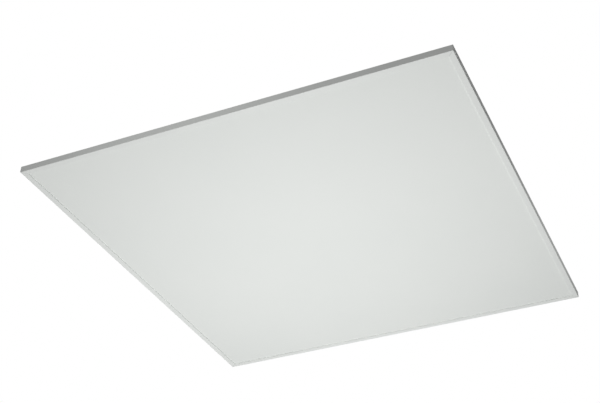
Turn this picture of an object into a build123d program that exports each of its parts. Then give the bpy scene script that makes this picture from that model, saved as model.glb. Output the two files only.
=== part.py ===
"""Recessed troffer light: a slim edge-lit panel that lies face down in a ceiling grid.

The origin is the centre of the plane that rests on the grid, +Z points up into the ceiling
void and the lit face looks down. Front is -Y, right is +X. All sizes are in millimetres.
"""
from build123d import *
import math
import os

# ---- driving dimensions: frame -------------------------------------------------------------
panel_side = 595.0  # outer side of the square frame, for a 600 mm grid
frame_wall = 1.0  # upright outer wall of the rail
lip_width = 8.0  # flange under the diffuser, seen from below
lip_thickness = 1.0
lip_corner_radius = 0.6
channel_depth = 10.0  # outer face to the inner face of the key channel
channel_wall = 0.7
key_thickness = 1.0
key_clearance = 0.05
key_leg = 34.0
wire_notch_width = 9.0  # gap in the channel where a strip lead passes

# ---- optics, from the lit face up ----------------------------------------------------------
diffuser_thickness = 1.2
guide_thickness = 3.0
reflector_thickness = 0.3
optics_clearance = 0.1  # above the stack
optics_edge_gap = 0.5
led_board_thickness = 1.0
led_board_height = 3.2
led_depth = 0.8
led_length = 4.0
led_height = 1.4
led_pitch = 12.0
led_end_margin = 16.0
led_guide_gap = 0.4

# ---- back plate ----------------------------------------------------------------------------
plate_thickness = 0.6
plate_recess = 0.3  # below the top edge of the frame
plate_gap = 0.2
bead_width = 12.0
bead_height = 1.4
bead_slope = 35.0  # degrees from upright
long_bead_length = 400.0
long_bead_rows = (105.0, 160.0)  # from the centre line, on both sides
short_bead_length = 150.0
short_bead_column = 222.0
foam_edge_gap = 0.5
foam_pocket_gap = 1.0

# ---- fasteners -----------------------------------------------------------------------------
screw_radius = 1.5  # M3
screw_head_radius = 2.8
screw_head_height = 1.9
screw_head_round = 0.85
screw_cross_reach = 1.5
screw_cross_width = 0.8
screw_cross_depth = 0.95
screw_tip_gap = 0.1
thread_clearance = 0.02
hole_clearance = 0.2
rivet_radius = 1.6
rivet_head_radius = 3.2
rivet_head_height = 1.0
rivet_head_round = 0.9
rivet_tail_radius = 2.3
rivet_tail_height = 0.8
plate_screw_inset = 5.4  # from the outer face of the frame
plate_screw_corner = 20.0  # from the corner of the frame
plate_screw_inner = 110.0  # from the middle of each side

# ---- gear box on the back plate ------------------------------------------------------------
sheet = 0.8
bend_radius = 1.2  # at the middle of the sheet
box_length = 300.0
box_width = 96.0
box_height = 34.0
box_flange = 10.0
cover_skirt = 5.0
fold_round = 0.7  # outside of the covers' folds
cover_side_gap = 0.2
cover_seam = 0.6
wiring_length = 102.0  # wiring compartment, at the +X end
tab_depth = 10.0
tab_side_gap = 1.6
partition_gap = 0.5  # under the tray's flanges
partition_window_height = 8.4
tray_rivet_inset = 12.0
tray_rivet_from_wall = 14.0

# cable entry and knockouts
inlet_radius = 11.15
inlet_from_wall = 26.0  # outside of the tray's wall to the middle of each entry
inlet_rise = 13.6  # above the tray floor
bushing_bore = 8.0
bushing_flange_radius = 13.4
bushing_flange_thickness = 1.8
bushing_round = 0.8
bushing_reach = 8.0  # inside the end plate
bushing_snap_radius = 11.9
bushing_snap_length = 1.6
bushing_clearance = 0.15
knockout_groove = 0.5
knockout_depth = 0.4

# access cover, its hinge and its latch
cover_gap = 0.2
hinge_knuckle = 2.0
hinge_pin_radius = 1.0
hinge_running = 0.04
hinge_side_gap = 0.3
hinge_leaf_length = 60.0
hinge_leaf_height = 14.0
hinge_end_knuckle = 14.0
hinge_rivet_inset = 7.0
latch_inset = 15.0  # from the outside of the front wall
latch_head_radius = 6.0
latch_head_height = 1.8
latch_round = 0.5
latch_slot = 1.4
latch_shaft_radius = 2.5
latch_running = 0.05
latch_wing_length = 10.0
latch_wing_width = 5.0
latch_wing_thickness = 1.2
latch_wing_round = 1.5
latch_under_gap = 0.3

# ---- driver --------------------------------------------------------------------------------
driver_from_partition = 12.0
driver_width = 54.0
driver_height = 30.0
driver_wall = 1.6
driver_corner_round = 3.2
driver_lid_round = 0.8
driver_lid_height = 12.0
driver_from_end = 38.0  # from the -X end of the tray
driver_ear = 8.0
driver_ear_thickness = 2.0
driver_ear_width = 12.0
driver_ear_from_side = 8.0
driver_post = 3.2
board_thickness = 1.6
board_rise = 3.0
board_gap = 0.6
transformer_length = 24.0
transformer_width = 22.0
transformer_height = 16.0
winding_inset = 5.0  # from the core's ends
winding_lift = 3.0
winding_proud = 3.0
capacitors = ((20.0, 10.0, 8.0, 20.0), (38.0, 15.0, 5.0, 16.0), (38.0, 3.0, 5.0, 16.0))
coil_radius = 6.5
coil_wire = 3.4
coil_from_end = 14.0
sink_start = 10.0
sink_base = 2.0
sink_depth = 8.0
sink_height = 17.0
sink_fins = 8
sink_fin = 1.4
sink_fin_gap = 3.2
selector_travel = 4.0  # each way from the middle
selector_spacing = 30.0
selector_from_end = 44.0  # from the +X end of the driver to the middle of the pair
selector_knob = 4.0
selector_knob_gap = 0.3
selector_knob_round = 0.6
selector_stand = 1.0  # above the driver cover
selector_body_length = 18.0
selector_body_width = 8.0
selector_body_height = 5.0
window_length = 62.0
window_width = 16.0
window_round = 1.6

# ---- terminal block ------------------------------------------------------------------------
pole_pitch = 10.0
lever_width = 8.0
lever_side_gap = 0.3
terminal_length = 22.0
terminal_height = 15.0
terminal_end_wall = 1.4
terminal_start = 20.0  # from the partition
terminal_foot = 7.0
terminal_foot_thickness = 2.0
lever_pivot_inset = 3.4
lever_pivot_drop = 2.4
lever_end_radius = 2.0
lever_trunnion_radius = 1.0
lever_trunnion_reach = 0.5
lever_running = 0.05
lever_reach = 18.2  # pivot to the finger tab's tip
lever_thickness = 1.8
lever_tip_round = 0.7
terminal_round = 0.8
terminal_foot_half = 5.0
clamp_inset = 5.2
clamp_half = 3.0
clamp_gap = 0.2
wire_entry_radius = 2.0
wire_entry_rise = 6.0

# ---- leads ---------------------------------------------------------------------------------
lead_radius = 1.2
lead_end_run = 3.0  # inside a block
lead_exit_run = 5.0  # straight out of a block
driver_lead_spread = 6.0
driver_lead_rise = 9.5  # above the tray floor
ribbon_width = 3.0
ribbon_thickness = 0.8
ribbon_gap = 0.6
ribbon_bend = 1.0  # outside of a fold
ribbon_fold = 0.7  # middle of a fold
ribbon_top_gap = 0.2
grommet_from_end = 21.0
grommet_bore = 5.0
grommet_neck = 6.5
grommet_fit = 0.05
grommet_flange = 9.0
grommet_lip = 1.2
grommet_round = 0.5
connector_length = 10.0
connector_width = 12.0
connector_height = 9.0
connector_rise = 4.0
connector_round = 1.0
earth_screw_radius = 1.95  # M4
earth_head_radius = 3.6
earth_head_height = 2.4
earth_head_round = 0.9
earth_lug_radius = 4.4
earth_lug_thickness = 0.8
earth_from_block = 24.0
earth_from_wall = 17.0
earth_lug_tail = 4.0
earth_slot = 1.0
earth_lead_drop = 1.0
earth_lead_bow = 1.5

# ---- hold-down clips and suspension tabs ---------------------------------------------------
tee_height = 38.0  # from the grid's seat to the top of its bulb
tee_clearance = 1.0
clip_inset = 8.0  # from the outer face of the frame to the pivot
clip_offset = 190.0  # from the middle of the side
clip_width = 11.4
clip_hook = 12.6
clip_return = 4.0
clip_knuckle = 2.0
clip_pin_radius = 1.0
clip_running = 0.05
clip_side_gap = 0.3
clip_under_gap = 0.3
bracket_thickness = 1.0
bracket_length = 15.0
bracket_outer = 4.0  # edge of the bracket to the outer face of the frame
bracket_flange = 9.0
bracket_round = 2.0
bracket_ear_round = 1.8
suspension_spacing = 480.0
tab_width = 22.0
tab_foot = 12.0
tab_shelf = 14.0
tab_rise = 8.0
tab_sheet = 1.2
tab_bend = 1.6
suspension_hole_radius = 2.1

# ---- heights and places that follow --------------------------------------------------------
half = panel_side / 2
slot_height = diffuser_thickness + guide_thickness + reflector_thickness + optics_clearance
web_bottom = lip_thickness + slot_height
web_top = web_bottom + channel_wall
flange_bottom = web_top + key_thickness + 2 * key_clearance
plate_bottom = flange_bottom + channel_wall
plate_top = plate_bottom + plate_thickness
frame_height = plate_top + plate_recess
diffuser_top = lip_thickness + diffuser_thickness
guide_top = diffuser_top + guide_thickness
reflector_top = guide_top + reflector_thickness
plate_side = panel_side - 2 * (frame_wall + plate_gap)
foam_side = panel_side - 2 * (channel_depth + foam_edge_gap)

floor_top = plate_top + sheet
box_top = plate_top + box_height
wall_outer = box_width / 2
wall_inner = wall_outer - sheet
box_end = box_length / 2
partition_x = box_end - wiring_length
flange_edge = wall_outer - box_flange
inlet_z = floor_top + inlet_rise
inlet_y = wall_outer - inlet_from_wall
tray_rivet_y = wall_outer - tray_rivet_from_wall

cover_bottom = box_top + cover_gap
cover_top = cover_bottom + sheet
access_start = partition_x + tab_depth / 2
access_end = box_end + sheet + cover_side_gap + sheet
hinge_x = (access_start + access_end) / 2
hinge_y = wall_outer + cover_side_gap + hinge_knuckle
hinge_z = cover_top - hinge_knuckle
latch_y = -wall_outer + latch_inset

driver_x0 = -box_end + driver_from_end
driver_x1 = partition_x - driver_from_partition
driver_ear_y = driver_width / 2 - driver_ear_from_side
driver_lead_z = floor_top + driver_lead_rise
driver_top = floor_top + driver_height
driver_split = driver_top - driver_lid_height
board_z = floor_top + driver_wall + board_rise
selector_x = driver_x1 - selector_from_end
selector_places = (selector_x - selector_spacing / 2, selector_x + selector_spacing / 2)

poles = (-pole_pitch, 0.0, pole_pitch)
terminal_x0 = partition_x + terminal_start
terminal_x1 = terminal_x0 + terminal_length
terminal_top = floor_top + terminal_height
lever_recess = lever_width + 2 * lever_side_gap
terminal_half = pole_pitch + lever_recess / 2 + terminal_end_wall
lever_x = terminal_x0 + lever_pivot_inset
lever_z = terminal_top - lever_pivot_drop
wire_entry_z = floor_top + wire_entry_rise
earth_x = terminal_x1 + earth_from_block
earth_y = wall_outer - earth_from_wall

grommet_x = -box_end + grommet_from_end
ribbon_z = reflector_top + ribbon_top_gap + ribbon_thickness / 2
ribbon_y = (ribbon_width + ribbon_gap) / 2
connector_z = floor_top + connector_rise

clip_z = plate_top + bracket_thickness + clip_under_gap + clip_knuckle
clip_reach = tee_height + tee_clearance - clip_z
bracket_half = clip_width / 2 + clip_side_gap + bracket_thickness
clip_corners = ((-1, -1), (1, -1), (-1, 1), (1, 1))
clip_names = ("front_left", "front_right", "back_left", "back_right")


def save(name, shape):
    export_step(shape, f"parts/{name}.step")


def block(x0, x1, y0, y1, z0, z1):
    """A box between two corners."""
    return Pos((x0 + x1) / 2, (y0 + y1) / 2, (z0 + z1) / 2) * Box(x1 - x0, y1 - y0, z1 - z0)


def rod(radius, z0, z1, x=0.0, y=0.0):
    """An upright cylinder."""
    return Pos(x, y, (z0 + z1) / 2) * Cylinder(radius, z1 - z0)


def rod_x(radius, x0, x1, y, z):
    """A cylinder along X."""
    return Pos((x0 + x1) / 2, y, z) * Rot(0, 90, 0) * Cylinder(radius, x1 - x0)


def rod_y(radius, y0, y1, x, z):
    """A cylinder along Y."""
    return Pos(x, (y0 + y1) / 2, z) * Rot(90, 0, 0) * Cylinder(radius, y1 - y0)


def bent_sheet(points, thickness, radius):
    """The section of a sheet folded along a line of points, in its own XY plane."""
    return trace(FilletPolyline(*points, radius=radius), line_width=thickness)


def at_corners(shape):
    """Four copies of a shape made for the front left corner, turned to face inwards."""
    return [Rot(0, 0, 90 * turn) * shape for turn in range(4)]


def rivet(x, y, z_low, z_high):
    """Domed rivet through a stack from z_low to z_high, with its tail underneath."""
    head = rod(rivet_head_radius, z_high, z_high + rivet_head_height)
    head = fillet(head.edges().sort_by(Axis.Z)[-1], rivet_head_round)
    shank = rod(rivet_radius, z_low, z_high)
    tail = rod(rivet_tail_radius, z_low - rivet_tail_height, z_low)
    return Pos(x, y, 0) * (head + shank + tail)


def rivet_y(x, y_outer, y_inner, z):
    """The same rivet lying along Y, with its head on the outside."""
    upright = rivet(0, 0, 0, abs(y_outer - y_inner))
    turn = -90 if y_outer > y_inner else 90
    return Pos(x, y_inner, z) * Rot(turn, 0, 0) * upright


def pan_screw(x, y, z_seat, tip):
    """Pan-head screw with a cross recess, seated at z_seat and ending at z = tip."""
    head = rod(screw_head_radius, z_seat, z_seat + screw_head_height)
    head = fillet(head.edges().sort_by(Axis.Z)[-1], screw_head_round)
    shank = rod(screw_radius, tip, z_seat)
    arm = screw_cross_reach
    slot = screw_cross_width / 2
    top = z_seat + screw_head_height
    low = top - screw_cross_depth
    cross = block(-arm, arm, -slot, slot, low, top) + block(-slot, slot, -arm, arm, low, top)
    return Pos(x, y, 0) * (head + shank - cross)


# ---- frame ---------------------------------------------------------------------------------
def plate_screw_places():
    """Screw places on one side, as distances along it from its middle."""
    corner = half - plate_screw_corner
    return (-corner, -plate_screw_inner, plate_screw_inner, corner)


def rail_section():
    """The rail's extruded section: x is the distance in from the outer face, y is the height."""
    wall = Pos(frame_wall / 2, frame_height / 2) * Rectangle(frame_wall, frame_height)
    lip = Pos(lip_width / 2, lip_thickness / 2) * Rectangle(lip_width, lip_thickness)
    outer = Pos(channel_depth / 2, (web_bottom + plate_bottom) / 2)
    outer = outer * Rectangle(channel_depth, plate_bottom - web_bottom)
    cavity_width = channel_depth - channel_wall - frame_wall
    cavity = Pos(frame_wall + cavity_width / 2, (web_top + flange_bottom) / 2)
    cavity = cavity * Rectangle(cavity_width, flange_bottom - web_top)
    section = wall + lip + outer - cavity
    corner = section.vertices().sort_by(lambda v: v.X + v.Y)[0]
    return fillet(corner, lip_corner_radius)


def front_rail():
    """The rail along the front edge, mitred at both ends and drilled for the plate screws."""
    section = Plane(origin=(-half, -half, 0), x_dir=(0, 1, 0), z_dir=(1, 0, 0)) * rail_section()
    rail = extrude(section, amount=panel_side)
    inner = half - channel_depth
    mitre = Polyline((-half, -half), (half, -half), (inner, -inner), (-inner, -inner), close=True)
    rail = rail & extrude(make_face(mitre), amount=frame_height)
    for x in plate_screw_places():
        hole = rod(screw_radius + thread_clearance, flange_bottom, plate_bottom)
        rail -= Pos(x, -half + plate_screw_inset, 0) * hole
    return rail


def make_frame():
    rail = front_rail()
    notch = block(
        -wire_notch_width / 2,
        wire_notch_width / 2,
        -half + frame_wall,
        -half + channel_depth,
        web_bottom,
        flange_bottom,
    )
    names = ("front", "right", "back", "left")
    for turn, name in enumerate(names):
        piece = rail - notch if name in ("left", "right") else rail
        save(f"frame_rail_{name}", Rot(0, 0, 90 * turn) * piece)


def make_corner_keys():
    """Flat steel angles that slide into the channels of two rails and hold the mitre."""
    outer = half - frame_wall - key_clearance
    inner = half - channel_depth + channel_wall + key_clearance
    end = half - key_leg
    corner = Polyline(
        (-outer, -outer),
        (-end, -outer),
        (-end, -inner),
        (-inner, -inner),
        (-inner, -end),
        (-outer, -end),
        close=True,
    )
    key = extrude(make_face(corner), amount=key_thickness)
    key = Pos(0, 0, web_top + key_clearance) * key
    place = half - plate_screw_corner
    edge = half - plate_screw_inset
    for x, y in ((-place, -edge), (-edge, -place)):
        key -= rod(screw_radius + thread_clearance, web_top, flange_bottom, x, y)
    save("corner_keys", Compound(at_corners(key)))


# ---- optics --------------------------------------------------------------------------------
def make_optics():
    across = half - frame_wall - optics_edge_gap
    strip_room = frame_wall + led_board_thickness + led_depth + led_guide_gap
    along = half - strip_room
    layers = (
        ("diffuser_plate", lip_thickness, diffuser_top),
        ("light_guide_plate", diffuser_top, guide_top),
        ("reflector_film", guide_top, reflector_top),
    )
    for name, low, high in layers:
        save(name, block(-along, along, -across, across, low, high))


def make_led_strips():
    """Upright boards against the left and right rails, with a row of diodes facing the guide."""
    guide_middle = diffuser_top + guide_thickness / 2
    board_low = guide_middle - led_board_height / 2
    face = half - frame_wall - led_board_thickness
    ends = half - frame_wall - optics_edge_gap
    count = int((2 * (half - led_end_margin)) // led_pitch)
    chips = []
    for side, name in ((-1, "left"), (1, "right")):
        x0, x1 = sorted((side * face, side * (face + led_board_thickness)))
        board = block(x0, x1, -ends, ends, board_low, board_low + led_board_height)
        save(f"led_board_{name}", board)
        c0, c1 = sorted((side * (face - led_depth), side * face))
        for i in range(count):
            y = (i - (count - 1) / 2) * led_pitch
            low = guide_middle - led_height / 2
            chips.append(block(c0, c1, y - led_length / 2, y + led_length / 2, low, low + led_height))
    save("led_chips", Compound(chips))


# ---- back plate ----------------------------------------------------------------------------
def bead(length, x, y, turn):
    """A pressed stiffening bead: the outer swelling and the hollow under it."""
    spread = bead_height * math.tan(math.radians(bead_slope))
    top = SlotOverall(length - 2 * spread, bead_width - 2 * spread)
    foot = SlotOverall(length, bead_width)
    place = Pos(x, y, 0) * Rot(0, 0, turn)
    outer = loft([Plane.XY.offset(plate_top) * foot, Plane.XY.offset(plate_top + bead_height) * top])
    inner_foot = SlotOverall(length - 2 * sheet, bead_width - 2 * sheet)
    inner_top = SlotOverall(length - 2 * (spread + sheet), bead_width - 2 * (spread + sheet))
    hollow_top = plate_top + bead_height - plate_thickness
    hollow = loft(
        [Plane.XY.offset(plate_bottom) * inner_foot, Plane.XY.offset(hollow_top) * inner_top]
    )
    return place * outer, place * hollow


def bead_places():
    places = []
    for row in long_bead_rows:
        places += [(long_bead_length, 0, -row, 0), (long_bead_length, 0, row, 0)]
    for side in (-1, 1):
        places.append((short_bead_length, side * short_bead_column, 0, 90))
    return places


def tray_rivet_places():
    """Rivets that hold the tray and the partition to the back plate."""
    ends = (-box_end + tray_rivet_inset, partition_x + tab_depth / 2, box_end - tray_rivet_inset)
    return [(x, side * tray_rivet_y) for x in ends for side in (-1, 1)]


def tab_places():
    reach = suspension_spacing / 2
    return [(sx * reach, sy * reach, sx) for sx, sy in clip_corners]


def bracket_rivet_y():
    return bracket_outer + bracket_length - rivet_head_radius - bracket_thickness


def fixing_rivet_places():
    """Rivets of the clip brackets and of the suspension tabs."""
    places = []
    for sx, sy in clip_corners:
        y = sy * (half - bracket_rivet_y())
        for off in (-1, 1):
            places.append((sx * clip_offset + off * (bracket_half + bracket_flange / 2), y))
    for x, y, sx in tab_places():
        foot = x - sx * (tab_shelf + tab_foot) / 2
        for off in (-1, 1):
            places.append((foot, y + off * tab_width / 4))
    return places


def make_back_plate():
    edge = plate_side / 2
    plate = block(-edge, edge, -edge, edge, plate_bottom, plate_top)
    for length, x, y, turn in bead_places():
        outer, hollow = bead(length, x, y, turn)
        plate = plate + outer - hollow
    inset = half - plate_screw_inset
    hole = rod(screw_radius + hole_clearance, plate_bottom, plate_top)
    for turn in range(4):
        for along in plate_screw_places():
            plate -= Rot(0, 0, 90 * turn) * Pos(along, -inset, 0) * hole
    for x, y in tray_rivet_places() + fixing_rivet_places():
        plate -= rod(rivet_radius, plate_bottom, plate_top, x, y)
    plate -= rod(grommet_neck + grommet_fit, plate_bottom, plate_top, grommet_x, 0)
    save("back_plate", plate)

    screws = []
    for turn in range(4):
        for along in plate_screw_places():
            screw = pan_screw(along, -inset, plate_top, web_top + screw_tip_gap)
            screws.append(Rot(0, 0, 90 * turn) * screw)
    save("back_plate_screws", Compound(screws))


def make_foam():
    """Foam sheet that presses the optics down, pocketed over rivet tails and grooved for leads."""
    edge = foam_side / 2
    foam = block(-edge, edge, -edge, edge, reflector_top, plate_bottom)
    low = plate_bottom - rivet_tail_height - foam_pocket_gap / 2
    for x, y in tray_rivet_places() + fixing_rivet_places():
        foam -= rod(rivet_tail_radius + foam_pocket_gap, low, plate_bottom, x, y)
    groove = ribbon_y + ribbon_width / 2 + foam_pocket_gap / 2
    groove_top = ribbon_z + ribbon_thickness / 2 + ribbon_top_gap
    foam -= block(-edge, edge, -groove, groove, reflector_top, groove_top)
    foam -= rod(grommet_flange + foam_pocket_gap, reflector_top, plate_bottom, grommet_x, 0)
    save("backing_foam", foam)


# ---- gear box ------------------------------------------------------------------------------
def knockout(place):
    """A scored ring around a cable entry that hasn't been opened."""
    ring = Cylinder(inlet_radius, knockout_depth) - Cylinder(
        inlet_radius - knockout_groove, knockout_depth
    )
    return place * ring


def driver_cover_screw_places():
    x0 = -box_end + tray_rivet_inset
    x1 = partition_x - tray_rivet_inset
    y = wall_outer - box_flange / 2
    return [(x, side * y) for x in (x0, x1) for side in (-1, 1)]


def tray_screw_places():
    """Driver ears and terminal feet, with the thickness that each screw holds."""
    places = []
    for x in (driver_x0 - driver_ear / 2, driver_x1 + driver_ear / 2):
        for side in (-1, 1):
            places.append((x, side * driver_ear_y, driver_ear_thickness))
    for side in (-1, 1):
        x = (terminal_x0 + terminal_x1) / 2
        y = side * (terminal_half + terminal_foot / 2)
        places.append((x, y, terminal_foot_thickness))
    return places


def make_tray():
    """The folded tray: floor, two long walls and the flanges that the covers lie on."""
    w = wall_outer - sheet / 2
    low = plate_top + sheet / 2
    high = box_top - sheet / 2
    points = ((-flange_edge, high), (-w, high), (-w, low), (w, low), (w, high), (flange_edge, high))
    tray = extrude(Plane.YZ * bent_sheet(points, sheet, bend_radius), amount=box_length)
    tray = Pos(-box_end, 0, 0) * tray
    for x, y in tray_rivet_places():
        tray -= rod(rivet_radius, plate_top, floor_top, x, y)
    for x, y, _ in tray_screw_places():
        tray -= rod(screw_radius + thread_clearance, plate_top, floor_top, x, y)
    for x, y in driver_cover_screw_places():
        tray -= rod(screw_radius + thread_clearance, box_top - sheet, box_top, x, y)
    for x in hinge_rivet_places():
        tray -= rod_y(rivet_radius, wall_inner, wall_outer, x, hinge_rivet_z())
    tray -= rod(earth_screw_radius + thread_clearance, plate_top, floor_top, earth_x, earth_y)
    tray -= rod(grommet_neck + grommet_fit, plate_top, floor_top, grommet_x, 0)
    side_entry = Pos(hinge_x, -wall_outer + knockout_depth / 2, inlet_z) * Rot(90, 0, 0)
    tray -= knockout(side_entry)
    save("gear_tray", tray)

    rivets = [rivet(x, y, plate_bottom, floor_top + sheet) for x, y in tray_rivet_places()]
    for x in hinge_rivet_places():
        rivets.append(rivet_y(x, wall_outer + sheet, wall_inner, hinge_rivet_z()))
    save("gear_tray_rivets", Compound(rivets))

    tip = plate_top + screw_tip_gap
    screws = [pan_screw(x, y, floor_top + grip, tip) for x, y, grip in tray_screw_places()]
    save("tray_screws", Compound(screws))


def end_section():
    """Outline of an end plate: the tray's own outer section, seen along X."""
    outline = Pos(0, (plate_top + box_top) / 2) * Rectangle(box_width, box_height)
    return fillet(outline.vertices(), bend_radius + sheet / 2)


def end_plate():
    """The +X end plate, with a floor tab and a top flange turned inwards."""
    plate = extrude(Plane.YZ.offset(box_end) * end_section(), amount=sheet)
    inner = box_end - tab_depth
    w = wall_inner - tab_side_gap
    floor_tab = block(inner, box_end, -w, w, floor_top, floor_top + sheet)
    top = flange_edge - cover_seam / 2
    top_tab = block(inner, box_end, -top, top, box_top - sheet, box_top)
    plate = plate + floor_tab + top_tab
    for x, y in tray_rivet_places():
        if x > partition_x + tab_depth:
            plate -= rod(rivet_radius, floor_top, floor_top + sheet, x, y)
    return plate


def make_end_plates():
    plain = end_plate()
    outside = box_end + sheet - knockout_depth / 2
    closed = Rot(0, 90, 0)
    inlet = plain - rod_x(inlet_radius, box_end, box_end + sheet, -inlet_y, inlet_z)
    inlet -= knockout(Pos(outside, inlet_y, inlet_z) * closed)
    save("end_plate_inlet", inlet)

    output = plain
    for side in (-1, 1):
        output -= knockout(Pos(outside, side * inlet_y, inlet_z) * closed)
    save("end_plate_output", Rot(0, 0, 180) * output)


def make_bushing():
    """Snap-in bushing in the open cable entry."""
    outer = box_end + sheet
    y, z = -inlet_y, inlet_z
    neck = inlet_radius - bushing_clearance
    shape = rod_x(neck, box_end - bushing_reach, outer, y, z)
    shape += rod_x(bushing_flange_radius, outer, outer + bushing_flange_thickness, y, z)
    snap = rod_x(bushing_snap_radius, box_end - bushing_snap_length, box_end, y, z)
    shape = shape + snap
    rim = shape.edges().filter_by(GeomType.CIRCLE).group_by(Axis.X)[-1]
    shape = fillet(rim, bushing_round)
    shape -= rod_x(bushing_bore, box_end - bushing_reach, outer + bushing_flange_thickness, y, z)
    save("inlet_bushing", shape)


def make_partition():
    """Sheet wall between driver and wiring compartment, with a window for the leads."""
    x = partition_x
    side = wall_inner - tab_side_gap
    top = flange_edge - cover_seam / 2
    wall = block(x, x + sheet, -side, side, floor_top, box_top - sheet - partition_gap)
    wall += block(x, x + sheet, -top, top, floor_top, box_top)
    wall += block(x, x + tab_depth, -side, side, floor_top, floor_top + sheet)
    wall += block(x, x + tab_depth, -top, top, box_top - sheet, box_top)
    reach = pole_pitch + 2 * lead_radius
    low = wire_entry_z - 2 * lead_radius
    wall -= block(x, x + sheet, -reach, reach, low, low + partition_window_height)
    for rx, ry in tray_rivet_places():
        if abs(rx - x - tab_depth / 2) < sheet:
            wall -= rod(rivet_radius, floor_top, floor_top + sheet, rx, ry)
    save("partition_plate", wall)


def folded_cover(x0, x1, back, bottom, skirts):
    """A flat cover with skirts turned down on the named sides, rounded where the sheet folds."""
    front = -wall_outer - cover_side_gap - sheet
    low = bottom - cover_skirt
    shell = block(x0, x1, front, back, low, bottom + sheet)
    sides = {"left": (Axis.X, 0), "right": (Axis.X, -1), "front": (Axis.Y, 0), "back": (Axis.Y, -1)}
    folded = [shell.faces().sort_by(axis)[end] for axis, end in (sides[side] for side in skirts)]
    folded.append(shell.faces().sort_by(Axis.Z)[-1])
    bends = [
        edge
        for edge in shell.edges()
        if sum(any(edge.is_same(other) for other in face.edges()) for face in folded) == 2
    ]
    shell = fillet(bends, fold_round)
    inner_x0 = x0 + sheet if "left" in skirts else x0
    inner_x1 = x1 - sheet if "right" in skirts else x1
    inner_back = back - sheet if "back" in skirts else back
    return shell - block(inner_x0, inner_x1, front + sheet, inner_back, low, bottom)


def make_driver_cover():
    x0 = -box_end - sheet - cover_side_gap - sheet
    x1 = access_start - cover_seam
    back = wall_outer + cover_side_gap + sheet
    cover = folded_cover(x0, x1, back, box_top, ("left", "front", "back"))
    for x, y in driver_cover_screw_places():
        cover -= rod(screw_radius + hole_clearance, box_top, box_top + sheet, x, y)
    window = Pos(selector_x, 0, box_top + sheet / 2) * Box(window_length, window_width, sheet)
    window = fillet(window.edges().filter_by(Axis.Z), window_round)
    cover -= window
    save("driver_cover", cover)
    screws = []
    for x, y in driver_cover_screw_places():
        screws.append(pan_screw(x, y, box_top + sheet, box_top - sheet - screw_tip_gap))
    save("driver_cover_screws", Compound(screws))


def hinge_rivet_places():
    reach = hinge_leaf_length / 2 - hinge_rivet_inset
    return (hinge_x - reach, hinge_x + reach)


def hinge_rivet_z():
    return hinge_z - hinge_knuckle - hinge_leaf_height / 2


def knuckle(x0, x1, bore):
    """A rolled barrel on the hinge line."""
    barrel = rod_x(hinge_knuckle, x0, x1, hinge_y, hinge_z)
    return barrel - rod_x(bore, x0, x1, hinge_y, hinge_z)


def make_access_cover():
    """Hinged cover of the wiring compartment, its fixed leaf, its pin and its latch."""
    cover = folded_cover(access_start, access_end, wall_outer, cover_bottom, ("right", "front"))
    reach = hinge_leaf_length / 2
    mid = reach - hinge_end_knuckle - hinge_side_gap
    tongue = block(hinge_x - mid, hinge_x + mid, wall_outer, hinge_y, cover_bottom, cover_top)
    bore = hinge_pin_radius + hinge_running
    tongue -= rod_x(bore, hinge_x - mid, hinge_x + mid, hinge_y, hinge_z)
    cover = cover + tongue + knuckle(hinge_x - mid, hinge_x + mid, bore)
    cover -= rod(latch_shaft_radius + latch_running, cover_bottom, cover_top, hinge_x, latch_y)
    save("access_cover", cover)

    leaf = block(
        hinge_x - reach,
        hinge_x + reach,
        wall_outer,
        wall_outer + sheet,
        hinge_z - hinge_knuckle - hinge_leaf_height,
        hinge_z - hinge_knuckle - hinge_side_gap,
    )
    for side in (-1, 1):
        x0, x1 = sorted((hinge_x + side * reach, hinge_x + side * (reach - hinge_end_knuckle)))
        strap = block(
            x0, x1, wall_outer, wall_outer + sheet, hinge_z - hinge_knuckle - sheet, hinge_z
        )
        strap -= rod_x(hinge_knuckle - sheet / 2, x0, x1, hinge_y, hinge_z)
        leaf += strap
        leaf += knuckle(x0, x1, hinge_pin_radius + thread_clearance)
    for x in hinge_rivet_places():
        leaf -= rod_y(rivet_radius, wall_outer, wall_outer + sheet, x, hinge_rivet_z())
    save("cover_hinge_leaf", leaf)

    pin = rod_x(hinge_pin_radius, hinge_x - reach, hinge_x + reach, hinge_y, hinge_z)
    save("cover_hinge_pin", pin)


def make_latch():
    """Quarter-turn latch: slotted head above the cover, wing under the tray's front flange."""
    low = cover_top + latch_running
    head = rod(latch_head_radius, low, low + latch_head_height)
    head = fillet(head.edges().sort_by(Axis.Z)[-1], latch_round)
    half_slot = latch_slot / 2
    slot_low = low + latch_head_height / 2
    reach = latch_head_radius
    head -= block(-reach, reach, -half_slot, half_slot, slot_low, low + latch_head_height)
    wing_top = box_top - sheet - latch_under_gap
    wing_low = wing_top - latch_wing_thickness
    shaft = rod(latch_shaft_radius, wing_low, low)
    w = latch_wing_width / 2
    wing = block(-w, latch_wing_length, -w, w, wing_low, wing_top)
    wing = fillet(wing.edges().filter_by(Axis.Z), latch_wing_round)
    save("cover_latch", Pos(hinge_x, latch_y, 0) * (head + shaft + wing))


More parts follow.
